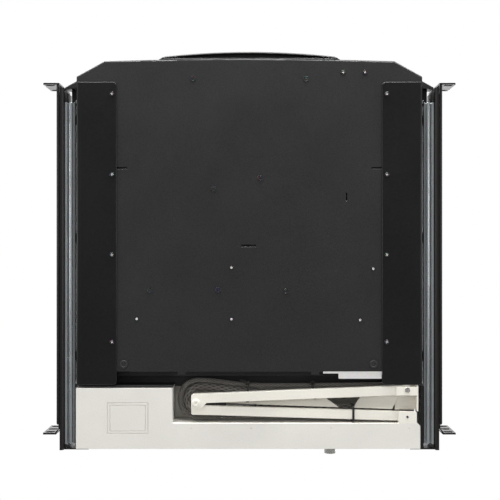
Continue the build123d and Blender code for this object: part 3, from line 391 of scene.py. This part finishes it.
NODE_FINISH = {
    "tray_coat": ("tray_pan", "rear_deck", "lid_back_cover", "rear_shelf"),
    "bracket_paint": (
        "side_bracket_left", "side_bracket_right", "front_ear_left", "front_ear_right",
        "rear_ear_left", "rear_ear_right", "tray_hinge_brackets"),
    "rail_paint": ("rail_bracket_left", "rail_bracket_right", "tie_tabs"),
    "enclosure_coat": ("enclosure_base", "enclosure_cover"),
    "cream_coat": ("lower_arm", "upper_arm", "arm_bracket_fixed", "arm_bracket_drawer"),
    "slide_zinc": (
        "slide_outer_left", "slide_outer_right", "slide_middle_left", "slide_middle_right",
        "slide_inner_left", "slide_inner_right"),
    "nickel": (
        "standoffs", "ball_cages_outer", "ball_cages_inner", "hinge_pins", "lid_hinge_arms",
        "video_port", "usb_ports", "power_collar"),
    "clamp_satin": ("cable_clamp_plate",),
    "zinc_sheet": ("lcd_module",),
    "moulded_black": ("front_fascia", "front_handle", "keyboard_deck", "lid_bezel"),
    "key_satin": ("key_rows", "space_bar", "enter_key"),
    "button_gloss": (
        "touchpad", "touchpad_button_left", "touchpad_button_right", "menu_button_1", "menu_button_2",
        "menu_button_3", "power_button"),
    "rubber": ("cable_grommet", "cable_boot"),
    "black_oxide": ("tray_fasteners",),
    "braid": ("cable_upper", "cable_elbow", "cable_lower", "cable_inlet", "cable_drawer"),
    "screen": ("lcd_glass",),
    "board": ("main_board",),
}
FINISHES = {}


# ---- the shared way to model a piece ------------------------------------------------
def start_fresh():
    """Leaves edit mode and deselects everything."""
    if bpy.context.object and bpy.context.object.mode != "OBJECT":
        bpy.ops.object.mode_set(mode="OBJECT")
    bpy.ops.object.select_all(action="DESELECT")


def take(piece):
    start_fresh()
    piece.select_set(True)
    bpy.context.view_layer.objects.active = piece


def round_blank(name, radius, low, high, sides=32):
    """An upright round blank at the origin, between two heights."""
    start_fresh()
    bpy.ops.mesh.primitive_cylinder_add(
        vertices=sides, radius=radius, depth=high - low, location=(0, 0, (low + high) / 2))
    piece = bpy.context.object
    piece.name = name
    bpy.ops.object.transform_apply(location=True, rotation=True, scale=True)
    return piece


def block(name, x, y, z):
    start_fresh()
    bpy.ops.mesh.primitive_cube_add(size=1.0, location=(sum(x) / 2, sum(y) / 2, sum(z) / 2))
    piece = bpy.context.object
    piece.name = name
    piece.scale = (x[1] - x[0], y[1] - y[0], z[1] - z[0])
    bpy.ops.object.transform_apply(location=True, rotation=True, scale=True)
    return piece


def pick_faces(piece, test):
    """In edit mode, with only the faces that pass the test selected."""
    take(piece)
    bpy.ops.object.mode_set(mode="EDIT")
    bpy.ops.mesh.select_mode(type="FACE")
    bpy.ops.mesh.select_all(action="DESELECT")
    mesh = bmesh.from_edit_mesh(piece.data)
    for face in mesh.faces:
        face.select_set(test(face))
    bmesh.update_edit_mesh(piece.data)


def soften(piece, width, segments=2, angle=40.0):
    """A bevel on the sharp edges, applied."""
    take(piece)
    bevel = piece.modifiers.new("soft edges", "BEVEL")
    bevel.width = width
    bevel.segments = segments
    bevel.limit_method = "ANGLE"
    bevel.angle_limit = math.radians(angle)
    bpy.ops.object.modifier_apply(modifier=bevel.name)
    bpy.ops.object.shade_smooth_by_angle(angle=math.radians(35.0))


def carve(piece, cutter):
    """Cuts one shape out of another and removes the cutter."""
    take(piece)
    cut = piece.modifiers.new("cut", "BOOLEAN")
    cut.operation = "DIFFERENCE"
    cut.solver = "EXACT"
    cut.object = cutter
    bpy.ops.object.modifier_apply(modifier=cut.name)
    start_fresh()
    cutter.select_set(True)
    bpy.ops.object.delete()


def copy_to(piece, place, turn=0.0):
    """A copy with its own mesh, turned about the upright axis and put at a place."""
    twin = piece.copy()
    twin.data = piece.data.copy()
    bpy.context.collection.objects.link(twin)
    twin.rotation_euler[2] = turn
    twin.location = place
    return twin


def join_pieces(name, parts):
    start_fresh()
    for part in parts:
        part.select_set(True)
    bpy.context.view_layer.objects.active = parts[0]
    if len(parts) > 1:
        bpy.ops.object.join()
    joined = bpy.context.object
    joined.name = name
    bpy.ops.object.transform_apply(location=True, rotation=True, scale=True)
    return joined


def remove(*pieces):
    start_fresh()
    for piece in pieces:
        piece.select_set(True)
    bpy.ops.object.delete()


def give(piece, finish, body):
    piece.data.materials.clear()
    piece.data.materials.append(FINISHES[finish])
    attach(piece, body)
    return piece


# ---- operators: finishes --------------------------------------------------------------
class FinishNodes(bpy.types.Operator):
    """Makes every finish and puts it on the sheet metal, plastic and glass parts"""
    bl_idname = "console.finish_nodes"
    bl_label = "Finish the parts"

    def execute(self, context):
        FINISHES.update(make_finishes())
        for finish, nodes in NODE_FINISH.items():
            for node in nodes:
                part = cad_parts[node]
                part.data.materials.clear()
                part.data.materials.append(FINISHES[finish])
        return {"FINISHED"}


# ---- operators: sleeves ---------------------------------------------------------------
THIN_UPPER = (
    (178.0, 352.8), (150.0, 353.6), (112.0, 353.9), (73.0, 354.3), (34.0, 354.5), (-2.0, 354.2),
    (-22.0, 351.6))
THICK_UPPER = (
    (178.0, 360.8), (148.0, 363.6), (112.0, 366.2), (72.0, 366.8), (30.0, 365.4), (2.0, 362.7),
    (-20.0, 359.8))
THIN_ELBOW = (
    THIN_UPPER[-1], (-44.0, 348.74), (-68.8, 347.5), (-82.2, 360.9), (-82.2, 379.4), (-68.8, 392.5),
    (-50.0, 392.7), (-34.0, 392.2))
THICK_ELBOW = (
    THICK_UPPER[-1], (-42.0, 356.9), (-65.4, 356.0), (-73.9, 364.6), (-73.9, 376.2), (-65.4, 384.6),
    (-44.0, 384.4), (-24.0, 383.3))
THIN_LOWER = (THIN_ELBOW[-1], (-2.0, 391.2), (40.0, 391.7), (80.0, 391.5), (120.0, 391.9), (150.0, 391.7))
THICK_LOWER = (THICK_ELBOW[-1], (12.0, 381.32), (54.0, 382.5), (94.0, 382.3), (130.0, 381.9), (152.0, 381.4))
THIN_INLET = (THIN_LOWER[-1], (162.0, 391.62), (169.5, 394.8), (171.8, 401.5))
THICK_INLET = (THICK_LOWER[-1], (166.0, 381.08), (177.0, 387.0), (181.5, 401.5))
THIN_DRAWER = ((189.4, 346.6), (189.2, 339.0), (189.4, 331.0))
THICK_DRAWER = ((180.2, 346.4), (180.4, 339.0), (180.2, 331.0))
SLEEVE_SIDES = 28


def route_line(route, height):
    """The smooth line that a sleeve follows, read from its spline."""
    curve = bpy.data.curves.new("route", "CURVE")
    curve.dimensions = "3D"
    curve.resolution_u = 14
    spline = curve.splines.new("NURBS")
    spline.points.add(len(route) - 1)
    for point, (x, y) in zip(spline.points, route):
        point.co = (x * MM, y * MM, height, 1.0)
    spline.order_u = 3
    spline.use_endpoint_u = True
    holder = bpy.data.objects.new("route", curve)
    bpy.context.collection.objects.link(holder)
    mesh = bpy.data.meshes.new_from_object(holder.evaluated_get(bpy.context.evaluated_depsgraph_get()))
    line = [vertex.co.copy() for vertex in mesh.vertices]
    bpy.data.objects.remove(holder)
    bpy.data.meshes.remove(mesh)
    return line


def sleeve(name, route, height, radius):
    """A braided sleeve: rings of points along the line, with a map that runs along and around it."""
    line = route_line(route, height)
    mesh = bmesh.new()
    uv_map = mesh.loops.layers.uv.new("braid")
    rings = []
    travelled = [0.0]
    for before, here in zip(line, line[1:]):
        travelled.append(travelled[-1] + (here - before).length)
    for index, here in enumerate(line):
        ahead = line[min(index + 1, len(line) - 1)] - line[max(index - 1, 0)]
        side = ahead.normalized().cross(Vector((0, 0, 1))).normalized()
        ring = []
        for step in range(SLEEVE_SIDES):
            angle = math.tau * step / SLEEVE_SIDES
            outward = math.cos(angle) * side + Vector((0, 0, math.sin(angle)))
            ring.append(mesh.verts.new(here + radius * outward))
        rings.append(ring)
    pitch = 1.9 * radius
    for index, (ring, after) in enumerate(zip(rings, rings[1:])):
        for step in range(SLEEVE_SIDES):
            right = (step + 1) % SLEEVE_SIDES
            face = mesh.faces.new((ring[step], ring[right], after[right], after[step]))
            places = ((index, step), (index, step + 1), (index + 1, step + 1), (index + 1, step))
            for loop, (row, column) in zip(face.loops, places):
                loop[uv_map].uv = (travelled[row] / pitch, column / SLEEVE_SIDES)
            face.smooth = True
    for ring in (rings[0][::-1], rings[-1]):
        mesh.faces.new(ring)
    bmesh.ops.recalc_face_normals(mesh, faces=mesh.faces)
    data = bpy.data.meshes.new(name)
    mesh.to_mesh(data)
    mesh.free()
    piece = bpy.data.objects.new(name, data)
    bpy.context.collection.objects.link(piece)
    return piece


def sleeve_pair(name, thin, thick):
    sizes = cable_settings()
    parts = [
        sleeve("thin", thin, sizes.thin_height, sizes.thin_radius),
        sleeve("thick", thick, sizes.thick_height, sizes.thick_radius),
    ]
    piece = join_pieces(name, parts)
    piece.data.materials.append(FINISHES["braid"])
    return piece


class AddSleeves(bpy.types.Operator):
    """Runs the two braided sleeves from the tray, along the folding arm and into the enclosure"""
    bl_idname = "console.add_sleeves"
    bl_label = "Add the braided sleeves"

    def execute(self, context):
        upper = sleeve_pair("sleeves_on_upper_arm", THIN_UPPER, THICK_UPPER)
        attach(upper, "arm_upper")
        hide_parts("cable_upper")
        lower = sleeve_pair("sleeves_on_lower_arm", THIN_LOWER, THICK_LOWER)
        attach(lower, "arm_lower")
        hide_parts("cable_lower")
        elbow = sleeve_pair("sleeve_loops_at_elbow", THIN_ELBOW, THICK_ELBOW)
        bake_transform(elbow)
        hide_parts("cable_elbow")
        inlet = sleeve_pair("sleeves_into_enclosure", THIN_INLET, THICK_INLET)
        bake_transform(inlet)
        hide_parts("cable_inlet")
        drawer = sleeve_pair("sleeves_into_tray", THIN_DRAWER, THICK_DRAWER)
        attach(drawer, "drawer")
        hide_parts("cable_drawer")
        return {"FINISHED"}


# ---- operators: ties --------------------------------------------------------------------
def tie_band(name, x, middle, reach, width, square=1.0):
    """The loop of a tie round a bundle, in the plane across the arm; a low square value makes it boxy."""
    start_fresh()
    bpy.ops.mesh.primitive_cylinder_add(
        vertices=40, radius=1.0, depth=width, end_fill_type="NOTHING", rotation=(0, math.pi / 2, 0))
    band = bpy.context.object
    band.name = name
    bpy.ops.object.transform_apply(location=True, rotation=True, scale=True)
    for vertex in band.data.vertices:
        across, upright = (math.copysign(abs(part) ** square, part) for part in vertex.co[1:])
        vertex.co = (x + vertex.co.x, middle[0] + reach[0] * across, middle[1] + reach[1] * upright)
    bpy.ops.object.mode_set(mode="EDIT")
    bpy.ops.mesh.select_all(action="SELECT")
    bpy.ops.mesh.normals_make_consistent(inside=False)
    bpy.ops.object.mode_set(mode="OBJECT")
    wall = band.modifiers.new("wall", "SOLIDIFY")
    wall.thickness = cable_settings().tie_thickness
    wall.offset = 0.0
    bpy.ops.object.modifier_apply(modifier=wall.name)
    soften(band, 0.00018, 2, 60.0)
    return band


def tie_head(x, y, z, size):
    half, low = size / 2, size / 2.6
    head = block("head", (x - half, x + half), (y - half, y + half), (z - low, z + low))
    pick_faces(head, lambda face: face.normal.z < -0.5)
    bpy.ops.mesh.inset(thickness=size * 0.18)
    bpy.ops.mesh.extrude_region_move(TRANSFORM_OT_translate={"value": (0, 0, size * 0.14)})
    soften(head, size * 0.07)
    return head


def tie_tail(start, bend, end, width):
    """The cut tail: a flat strip that leaves the head and curls."""
    start_fresh()
    bpy.ops.mesh.primitive_plane_add(size=1.0)
    tail = bpy.context.object
    tail.scale = (width, 1.0, 1.0)
    bpy.ops.object.transform_apply(location=True, rotation=True, scale=True)
    bpy.ops.object.mode_set(mode="EDIT")
    bpy.ops.mesh.select_all(action="SELECT")
    bpy.ops.mesh.subdivide(number_cuts=6)
    bpy.ops.object.mode_set(mode="OBJECT")
    first, second, third = Vector(start), Vector(bend), Vector(end)
    for vertex in tail.data.vertices:
        share = vertex.co.y + 0.5
        across = vertex.co.x
        place = first.lerp(second, share).lerp(second.lerp(third, share), share)
        heading = (third - first)
        sideways = Vector((-heading.y, heading.x, 0.0)).normalized()
        vertex.co = place + across * sideways
    wall = tail.modifiers.new("wall", "SOLIDIFY")
    wall.thickness = cable_settings().tie_thickness
    wall.offset = 0.0
    bpy.ops.object.modifier_apply(modifier=wall.name)
    soften(tail, 0.0002, 1, 60.0)
    return tail


class AddTies(bpy.types.Operator):
    """Straps the sleeves to both links of the arm with cable ties"""
    bl_idname = "console.add_ties"
    bl_label = "Add the cable ties"

    def execute(self, context):
        near_elbow = join_pieces("tie_near_elbow", [
            tie_band("band", -0.002, (0.3597, -0.0036), (0.0091, 0.0077), 0.0026),
            tie_head(-0.002, 0.3509, -0.0072, 0.0046),
            tie_tail((-0.002, 0.3506, -0.0075), (-0.006, 0.3482, -0.009), (-0.0115, 0.3476, -0.0085), 0.0022),
            # a dark strip from 27 to 55 mm left of the middle that fills the shaded slot between the arm's links at
            # the elbow: painted shade, made like a tie's tail
            tie_tail((-0.027, 0.3752, -0.0121), (-0.041, 0.3750, -0.0123), (-0.055, 0.3748, -0.0121), 0.0028),
            tie_head(-0.002, 0.3713, -0.0121, 0.0032),
            tie_head(0.007, 0.3768, -0.0117, 0.0026),
        ])
        give(near_elbow, "tie_nylon", "arm_upper")
        mid_upper = join_pieces("tie_mid_upper_arm", [
            tie_band("band", 0.0745, (0.3608, -0.0036), (0.0108, 0.0077), 0.0026),
            tie_head(0.0745, 0.3508, -0.0064, 0.0042),
            tie_head(0.0768, 0.3677, -0.0121, 0.003),
        ])
        give(mid_upper, "tie_nylon", "arm_upper")
        lower = join_pieces("tie_on_lower_arm", [
            tie_band("band", 0.1214, (0.3867, -0.0058), (0.0100, 0.0119), 0.0026, 0.3),
            tie_head(0.1214, 0.3771, -0.0128, 0.0036),
        ])
        give(lower, "tie_nylon", "arm_lower")
        return {"FINISHED"}


# ---- operators: fasteners ----------------------------------------------------------------
SIDE_SCREWS = tuple((side * 160.0, y) for side in (-1, 1) for y in (12.6, 106.5, 200.0, 301.5))
FASCIA_SCREWS = ((109.2, -12.9), (134.9, -12.9))
STUDS = (
    (-65.8, -5.6), (65.9, -5.0), (12.9, 110.4), (-42.0, 122.6), (-116.5, 241.4), (-36.7, 241.2),
    (42.5, 242.6))
BOARD_SCREWS = ((-21.0, 215.1), (144.4, 216.3), (-131.4, 274.8), (-21.0, 275.1), (129.1, 276.0))
FEET = ((-146.6, 327.5), (144.7, 327.5))
FLANGE_FACE = -20.5 * MM
PAN_FACE = -19.0 * MM


def cross_head(name, radius, face, depth, recess):
    """A domed screw head that hangs below a face, with a cross recess."""
    head = round_blank(name, radius, face - depth, face)
    pick_faces(head, lambda surface: surface.normal.z < -0.9)
    bpy.ops.mesh.inset(thickness=radius * 0.3)
    bpy.ops.mesh.extrude_region_move(TRANSFORM_OT_translate={"value": (0, 0, -depth * 0.12)})
    bpy.ops.object.mode_set(mode="OBJECT")
    soften(head, depth * 0.3, 3, 50.0)
    for turn in (0.0, math.pi / 2):
        cutter = block(
            "slot", (-recess, recess), (-recess * 0.2, recess * 0.2), (face - 2 * depth, face - depth * 0.45))
        cutter.rotation_euler[2] = turn
        carve(head, cutter)
    return head


def screw_glint_insert(name, radius, face):
    """A light insert in the middle of a screw, a painted highlight for the reflection in its recess: a small dome
    with a round dish in it.
    """
    socket = round_blank(name, radius, face - 0.12 * MM, face + 0.15 * MM, 24)
    pick_faces(socket, lambda surface: surface.normal.z < -0.9)
    bpy.ops.mesh.inset(thickness=radius * 0.35)
    bpy.ops.mesh.extrude_region_move(TRANSFORM_OT_translate={"value": (0, 0, 0.09 * MM)})
    bpy.ops.object.mode_set(mode="OBJECT")
    soften(socket, 0.05 * MM, 2, 50.0)
    return socket


def pressed_stud(name, radius, face):
    """The flush face of a pressed stud: a raised ring round a shallow dish."""
    stud = round_blank(name, radius, face - 0.0005, face)
    pick_faces(stud, lambda surface: surface.normal.z < -0.9)
    bpy.ops.mesh.inset(thickness=radius * 0.28)
    bpy.ops.mesh.extrude_region_move(TRANSFORM_OT_translate={"value": (0, 0, 0.00028)})
    bpy.ops.mesh.inset(thickness=radius * 0.22)
    bpy.ops.mesh.extrude_region_move(TRANSFORM_OT_translate={"value": (0, 0, -0.00018)})
    bpy.ops.object.mode_set(mode="OBJECT")
    soften(stud, 0.0001, 2, 50.0)
    return stud


def rubber_foot(name, radius, face):
    foot = round_blank(name, radius, face - 0.0012, face, 40)
    pick_faces(foot, lambda surface: surface.normal.z < -0.9)
    bpy.ops.mesh.inset(thickness=radius * 0.42)
    bpy.ops.mesh.extrude_region_move(TRANSFORM_OT_translate={"value": (0, 0, 0.0006)})
    bpy.ops.object.mode_set(mode="OBJECT")
    soften(foot, 0.0003, 3, 50.0)
    return foot


def scatter(name, master, places, step=0.7):
    """Copies of one fastener at each place, each turned a little, as one piece."""
    copies = []
    for index, (x, y) in enumerate(places):
        copies.append(copy_to(master, (x * MM, y * MM, 0.0), step * index))
    remove(master)
    return join_pieces(name, copies)


class AddFasteners(bpy.types.Operator):
    """Adds the tray's recessed screws, pressed studs and two feet"""
    bl_idname = "console.add_fasteners"
    bl_label = "Add the tray fasteners"

    def execute(self, context):
        screws = scatter(
            "tray_side_screws", cross_head("screw", 2.7 * MM, FLANGE_FACE, 0.9 * MM, 1.5 * MM), SIDE_SCREWS)
        give(screws, "black_oxide", "drawer")
        studs = scatter("tray_studs", pressed_stud("stud", 3.2 * MM, PAN_FACE), STUDS)
        give(studs, "black_oxide", "drawer")
        fascia = scatter(
            "fascia_screws", cross_head("screw", 3.2 * MM, PAN_FACE, 0.5 * MM, 1.6 * MM), FASCIA_SCREWS, 0.4)
        give(fascia, "black_oxide", "drawer")
        boards = scatter(
            "board_screws", cross_head("screw", 2.4 * MM, PAN_FACE, 0.4 * MM, 1.2 * MM), BOARD_SCREWS)
        give(boards, "black_oxide", "drawer")
        # light inserts in the screw recesses: a painted highlight, not worn metal
        side_glint_inserts = scatter(
            "socket", screw_glint_insert("socket", 1.6 * MM, FLANGE_FACE - 0.88 * MM), SIDE_SCREWS)
        pan_glint_inserts = scatter(
            "socket", screw_glint_insert("socket", 1.3 * MM, PAN_FACE - 0.4 * MM), (*BOARD_SCREWS, *FASCIA_SCREWS))
        sockets = join_pieces("screw_glint_inserts", [side_glint_inserts, pan_glint_inserts])
        give(sockets, "clamp_satin", "drawer")
        feet = scatter("tray_feet", rubber_foot("foot", 4.7 * MM, PAN_FACE), FEET)
        give(feet, "rubber", "drawer")
        for piece in (screws, studs, fascia, boards, sockets, feet):
            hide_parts("tray_fasteners")
        return {"FINISHED"}


ELBOW = (-62.497, 373.05)
DRAWER_PIVOT = (184.0, 357.3)
FIXED_PIVOT = (184.0, 388.8)


def place_at(name, piece, pivot):
    """Moves a finished piece to a pivot and applies its place."""
    piece.location = (pivot[0] * MM, pivot[1] * MM, 0.0)
    return join_pieces(name, [piece])


class AddArmHardware(bpy.types.Operator):
    """Adds the elbow rivet and the pivot screws of the cable arm"""
    bl_idname = "console.add_arm_hardware"
    bl_label = "Add the arm's rivets"

    def execute(self, context):
        elbow = round_blank("elbow_rivet", 4.9 * MM, -19.5 * MM, -18.7 * MM, 40)
        pick_faces(elbow, lambda face: face.normal.z < -0.9)
        bpy.ops.mesh.inset(thickness=1.0 * MM)
        bpy.ops.mesh.extrude_region_move(TRANSFORM_OT_translate={"value": (0, 0, -0.15 * MM)})
        bpy.ops.mesh.inset(thickness=2.7 * MM)
        bpy.ops.mesh.extrude_region_move(TRANSFORM_OT_translate={"value": (0, 0, 0.5 * MM)})
        bpy.ops.object.mode_set(mode="OBJECT")
        soften(elbow, 0.14 * MM, 2, 40.0)
        place_at("elbow_rivet", elbow, ELBOW)
        give(elbow, "cream_coat", "arm_lower")
        pivot = cross_head("drawer_pivot_screw", 3.1 * MM, -20.9 * MM, 0.7 * MM, 1.7 * MM)
        place_at("drawer_pivot_screw", pivot, DRAWER_PIVOT)
        give(pivot, "nickel", "drawer")
        pin = pressed_stud("fixed_pivot_rivet", 1.3 * MM, -20.5 * MM)
        place_at("fixed_pivot_rivet", pin, FIXED_PIVOT)
        give(pin, "black_oxide", "rack_frame")
        return {"FINISHED"}


# dark strips in the gap in front of each slide: painted shade
GAP_SHADE_X = (214.7, 216.4)
GAP_SHADE_Y = (8.5, 21.7)
GAP_SHADE_Z = (-14.0, 17.3)


class AddSlideGapShade(bpy.types.Operator):
    """Adds a dark strip on each rail that fills the gap in front of the telescopic slide: painted shade for the
    dark gap
    """
    bl_idname = "console.add_slide_buffers"
    bl_label = "Add the slide buffers"

    def execute(self, context):
        gap_shades = []
        for side in (-1, 1):
            across = sorted(side * edge * MM for edge in GAP_SHADE_X)
            along, upright = ([edge * MM for edge in reach] for reach in (GAP_SHADE_Y, GAP_SHADE_Z))
            gap_shade = block("gap_shade", across, along, upright)
            soften(gap_shade, 0.4 * MM)
            gap_shades.append(gap_shade)
        give(join_pieces("slide_gap_shade_strips", gap_shades), "rubber", "rack_frame")
        return {"FINISHED"}


class AddPortDetails(bpy.types.Operator):
    """Adds the pin field of the video socket and the contacts of the two small sockets"""
    bl_idname = "console.add_port_details"
    bl_label = "Add the port details"

    def execute(self, context):
        face = block("face", (-140.4 * MM, -125.6 * MM), (421.0 * MM, 422.4 * MM), (-3.3 * MM, 3.3 * MM))
        soften(face, 0.3 * MM)
        holes = []
        for row, shift in ((-2.0, 0.0), (0.0, 1.15), (2.0, 0.0)):
            for index in range(5):
                x = -133.0 + (index - 2) * 2.3 + shift - 0.4
                hole = round_blank("hole", 0.45 * MM, 0.0, 2.0 * MM, 10)
                hole.rotation_euler[0] = math.pi / 2
                hole.location = (x * MM, 423.4 * MM, row * MM)
                holes.append(hole)
        carve(face, join_pieces("holes", holes))
        face.name = "video_pin_field"
        give(face, "button_gloss", "rack_frame")
        contacts = []
        for port in (-80.0, -40.0):
            for index in range(4):
                x = port + (index - 1.5) * 2.3
                across = ((x - 0.5) * MM, (x + 0.5) * MM)
                contact = block("contact", across, (416.0 * MM, 424.2 * MM), (1.1 * MM, 1.5 * MM))
                soften(contact, 0.12 * MM)
                contacts.append(contact)
        give(join_pieces("socket_contacts", contacts), "nickel", "rack_frame")
        return {"FINISHED"}


# ---- operators: stage ------------------------------------------------------------------------
def pale_floor():
    """A pale floor that can be looked through from underneath."""
    material, tree, shader = blank_material("pale_floor")
    place = place_coordinates(tree)
    clouds = noise(tree, place, 3.0, 2.0)
    tree.links.new(blend_colour(tree, clouds, (0.80, 0.80, 0.79), (0.84, 0.84, 0.83)), shader.inputs["Base Color"])
    shader.inputs["Roughness"].default_value = 0.7
    clear = add_node(tree, "ShaderNodeBsdfTransparent")
    below = add_node(tree, "ShaderNodeNewGeometry").outputs["Backfacing"]
    both = add_node(tree, "ShaderNodeMixShader", {0: below, 1: shader.outputs["BSDF"], 2: clear.outputs["BSDF"]})
    tree.links.new(both.outputs["Shader"], tree.nodes["Material Output"].inputs["Surface"])
    return material


def soft_light(name, place, aim, size, power, colour=(1.0, 1.0, 1.0)):
    lamp = bpy.data.lights.new(name, "AREA")
    lamp.shape = "RECTANGLE"
    lamp.size, lamp.size_y = size
    lamp.energy = power
    lamp.color = colour
    holder = bpy.data.objects.new(name, lamp)
    holder.location = place
    holder.rotation_euler = (Vector(aim) - Vector(place)).to_track_quat("-Z", "Y").to_euler()
    bpy.context.collection.objects.link(holder)
    return holder


def studio_surround():
    """A white backdrop; the light that it gives is softer from above and dim from below."""
    world = bpy.data.worlds.new("studio")
    world.use_nodes = True
    tree = world.node_tree
    way = add_node(tree, "ShaderNodeTexCoord").outputs["Generated"]
    height = add_node(tree, "ShaderNodeSeparateXYZ", {"Vector": way}).outputs["Z"]
    sky = spread(tree, height, -0.35, 0.45, 0.28, 0.45)
    glow = plus(tree, sky, spread(tree, height, 0.88, 0.97, 0.0, 2.6))
    seen = add_node(tree, "ShaderNodeLightPath").outputs["Is Camera Ray"]
    strength = add_node(tree, "ShaderNodeMix", {0: seen, 2: glow, 3: 1.0}).outputs[0]
    tree.links.new(strength, tree.nodes["Background"].inputs["Strength"])
    tree.nodes["Background"].inputs["Color"].default_value = (1.0, 1.0, 1.0, 1.0)
    return world


class SetStage(bpy.types.Operator):
    """Puts up the camera below the drawer, the pale floor and the soft studio lights"""
    bl_idname = "console.set_stage"
    bl_label = "Set the stage"

    def execute(self, context):
        camera_data = bpy.data.cameras.new("camera")
        camera_data.angle = math.radians(32.13)
        camera_data.clip_start = 0.01
        camera = bpy.data.objects.new("camera", camera_data)
        camera.location = (0.0007, 0.1944, -1.0313)
        camera.rotation_euler = (math.pi, 0.0, 0.0)
        context.collection.objects.link(camera)
        context.scene.camera = camera

        start_fresh()
        bpy.ops.mesh.primitive_plane_add(size=8.0, location=(0.0, 0.2, CAD_BOX[0][2] - 0.0002))
        floor = bpy.context.object
        floor.name = "floor"
        floor.data.materials.append(pale_floor())
        floor.visible_shadow = False
        floor.visible_diffuse = False
        floor.visible_glossy = False
        floor.visible_transmission = False

        middle = (0.0, 0.2, 0.0)
        soft_light("front_below", (0.0, -0.95, -0.55), (0.0, 0.1, 0.0), (1.7, 0.35), 11.0)
        soft_light("front_level", (0.0, -1.3, -0.14), middle, (2.2, 0.22), 60.0)
        soft_light("left_below", (-1.25, 0.1, -0.55), middle, (0.4, 1.0), 6.0)
        soft_light("right_below", (1.25, 0.1, -0.55), middle, (0.4, 1.0), 6.0)
        soft_light("rear_below", (0.1, 1.45, -0.5), (0.0, 0.3, 0.0), (1.6, 0.35), 7.0)
        soft_light("over_front", (-0.5, -1.1, 1.3), middle, (1.2, 1.2), 22.0)
        soft_light("over_rear", (0.8, 1.3, 1.1), middle, (1.0, 1.0), 14.0)
        context.scene.world = studio_surround()
        context.scene.view_settings.view_transform = "Standard"
        return {"FINISHED"}


class ConsolePanel(bpy.types.Panel):
    """Lists the steps that build the rack console drawer's looks"""
    bl_idname = "VIEW3D_PT_rack_console"
    bl_label = "Rack console drawer"
    bl_space_type = "VIEW_3D"
    bl_region_type = "UI"
    bl_category = "Rack Console"

    def draw(self, context):
        for step in STEPS:
            self.layout.operator(step.bl_idname)
        for group in (context.scene.console_finish, context.scene.console_cables):
            for key in group.bl_rna.properties.keys():
                if key not in ("rna_type", "name"):
                    self.layout.prop(group, key)


STEPS = (
    SetStage, FinishNodes, AddSleeves, AddTies, AddFasteners, AddArmHardware, AddSlideGapShade,
    AddPortDetails)
CLASSES = (ConsoleFinish, CableSizes, *STEPS, ConsolePanel)


def register():
    for item in CLASSES:
        bpy.utils.register_class(item)
    bpy.types.Scene.console_finish = bpy.props.PointerProperty(type=ConsoleFinish)
    bpy.types.Scene.console_cables = bpy.props.PointerProperty(type=CableSizes)


def unregister():
    del bpy.types.Scene.console_cables
    del bpy.types.Scene.console_finish
    for item in reversed(CLASSES):
        bpy.utils.unregister_class(item)


def main():
    register()
    for step in STEPS:
        group, name = step.bl_idname.split(".")
        getattr(getattr(bpy.ops, group), name)()
    start_fresh()


if __name__ == "__main__":
    main()
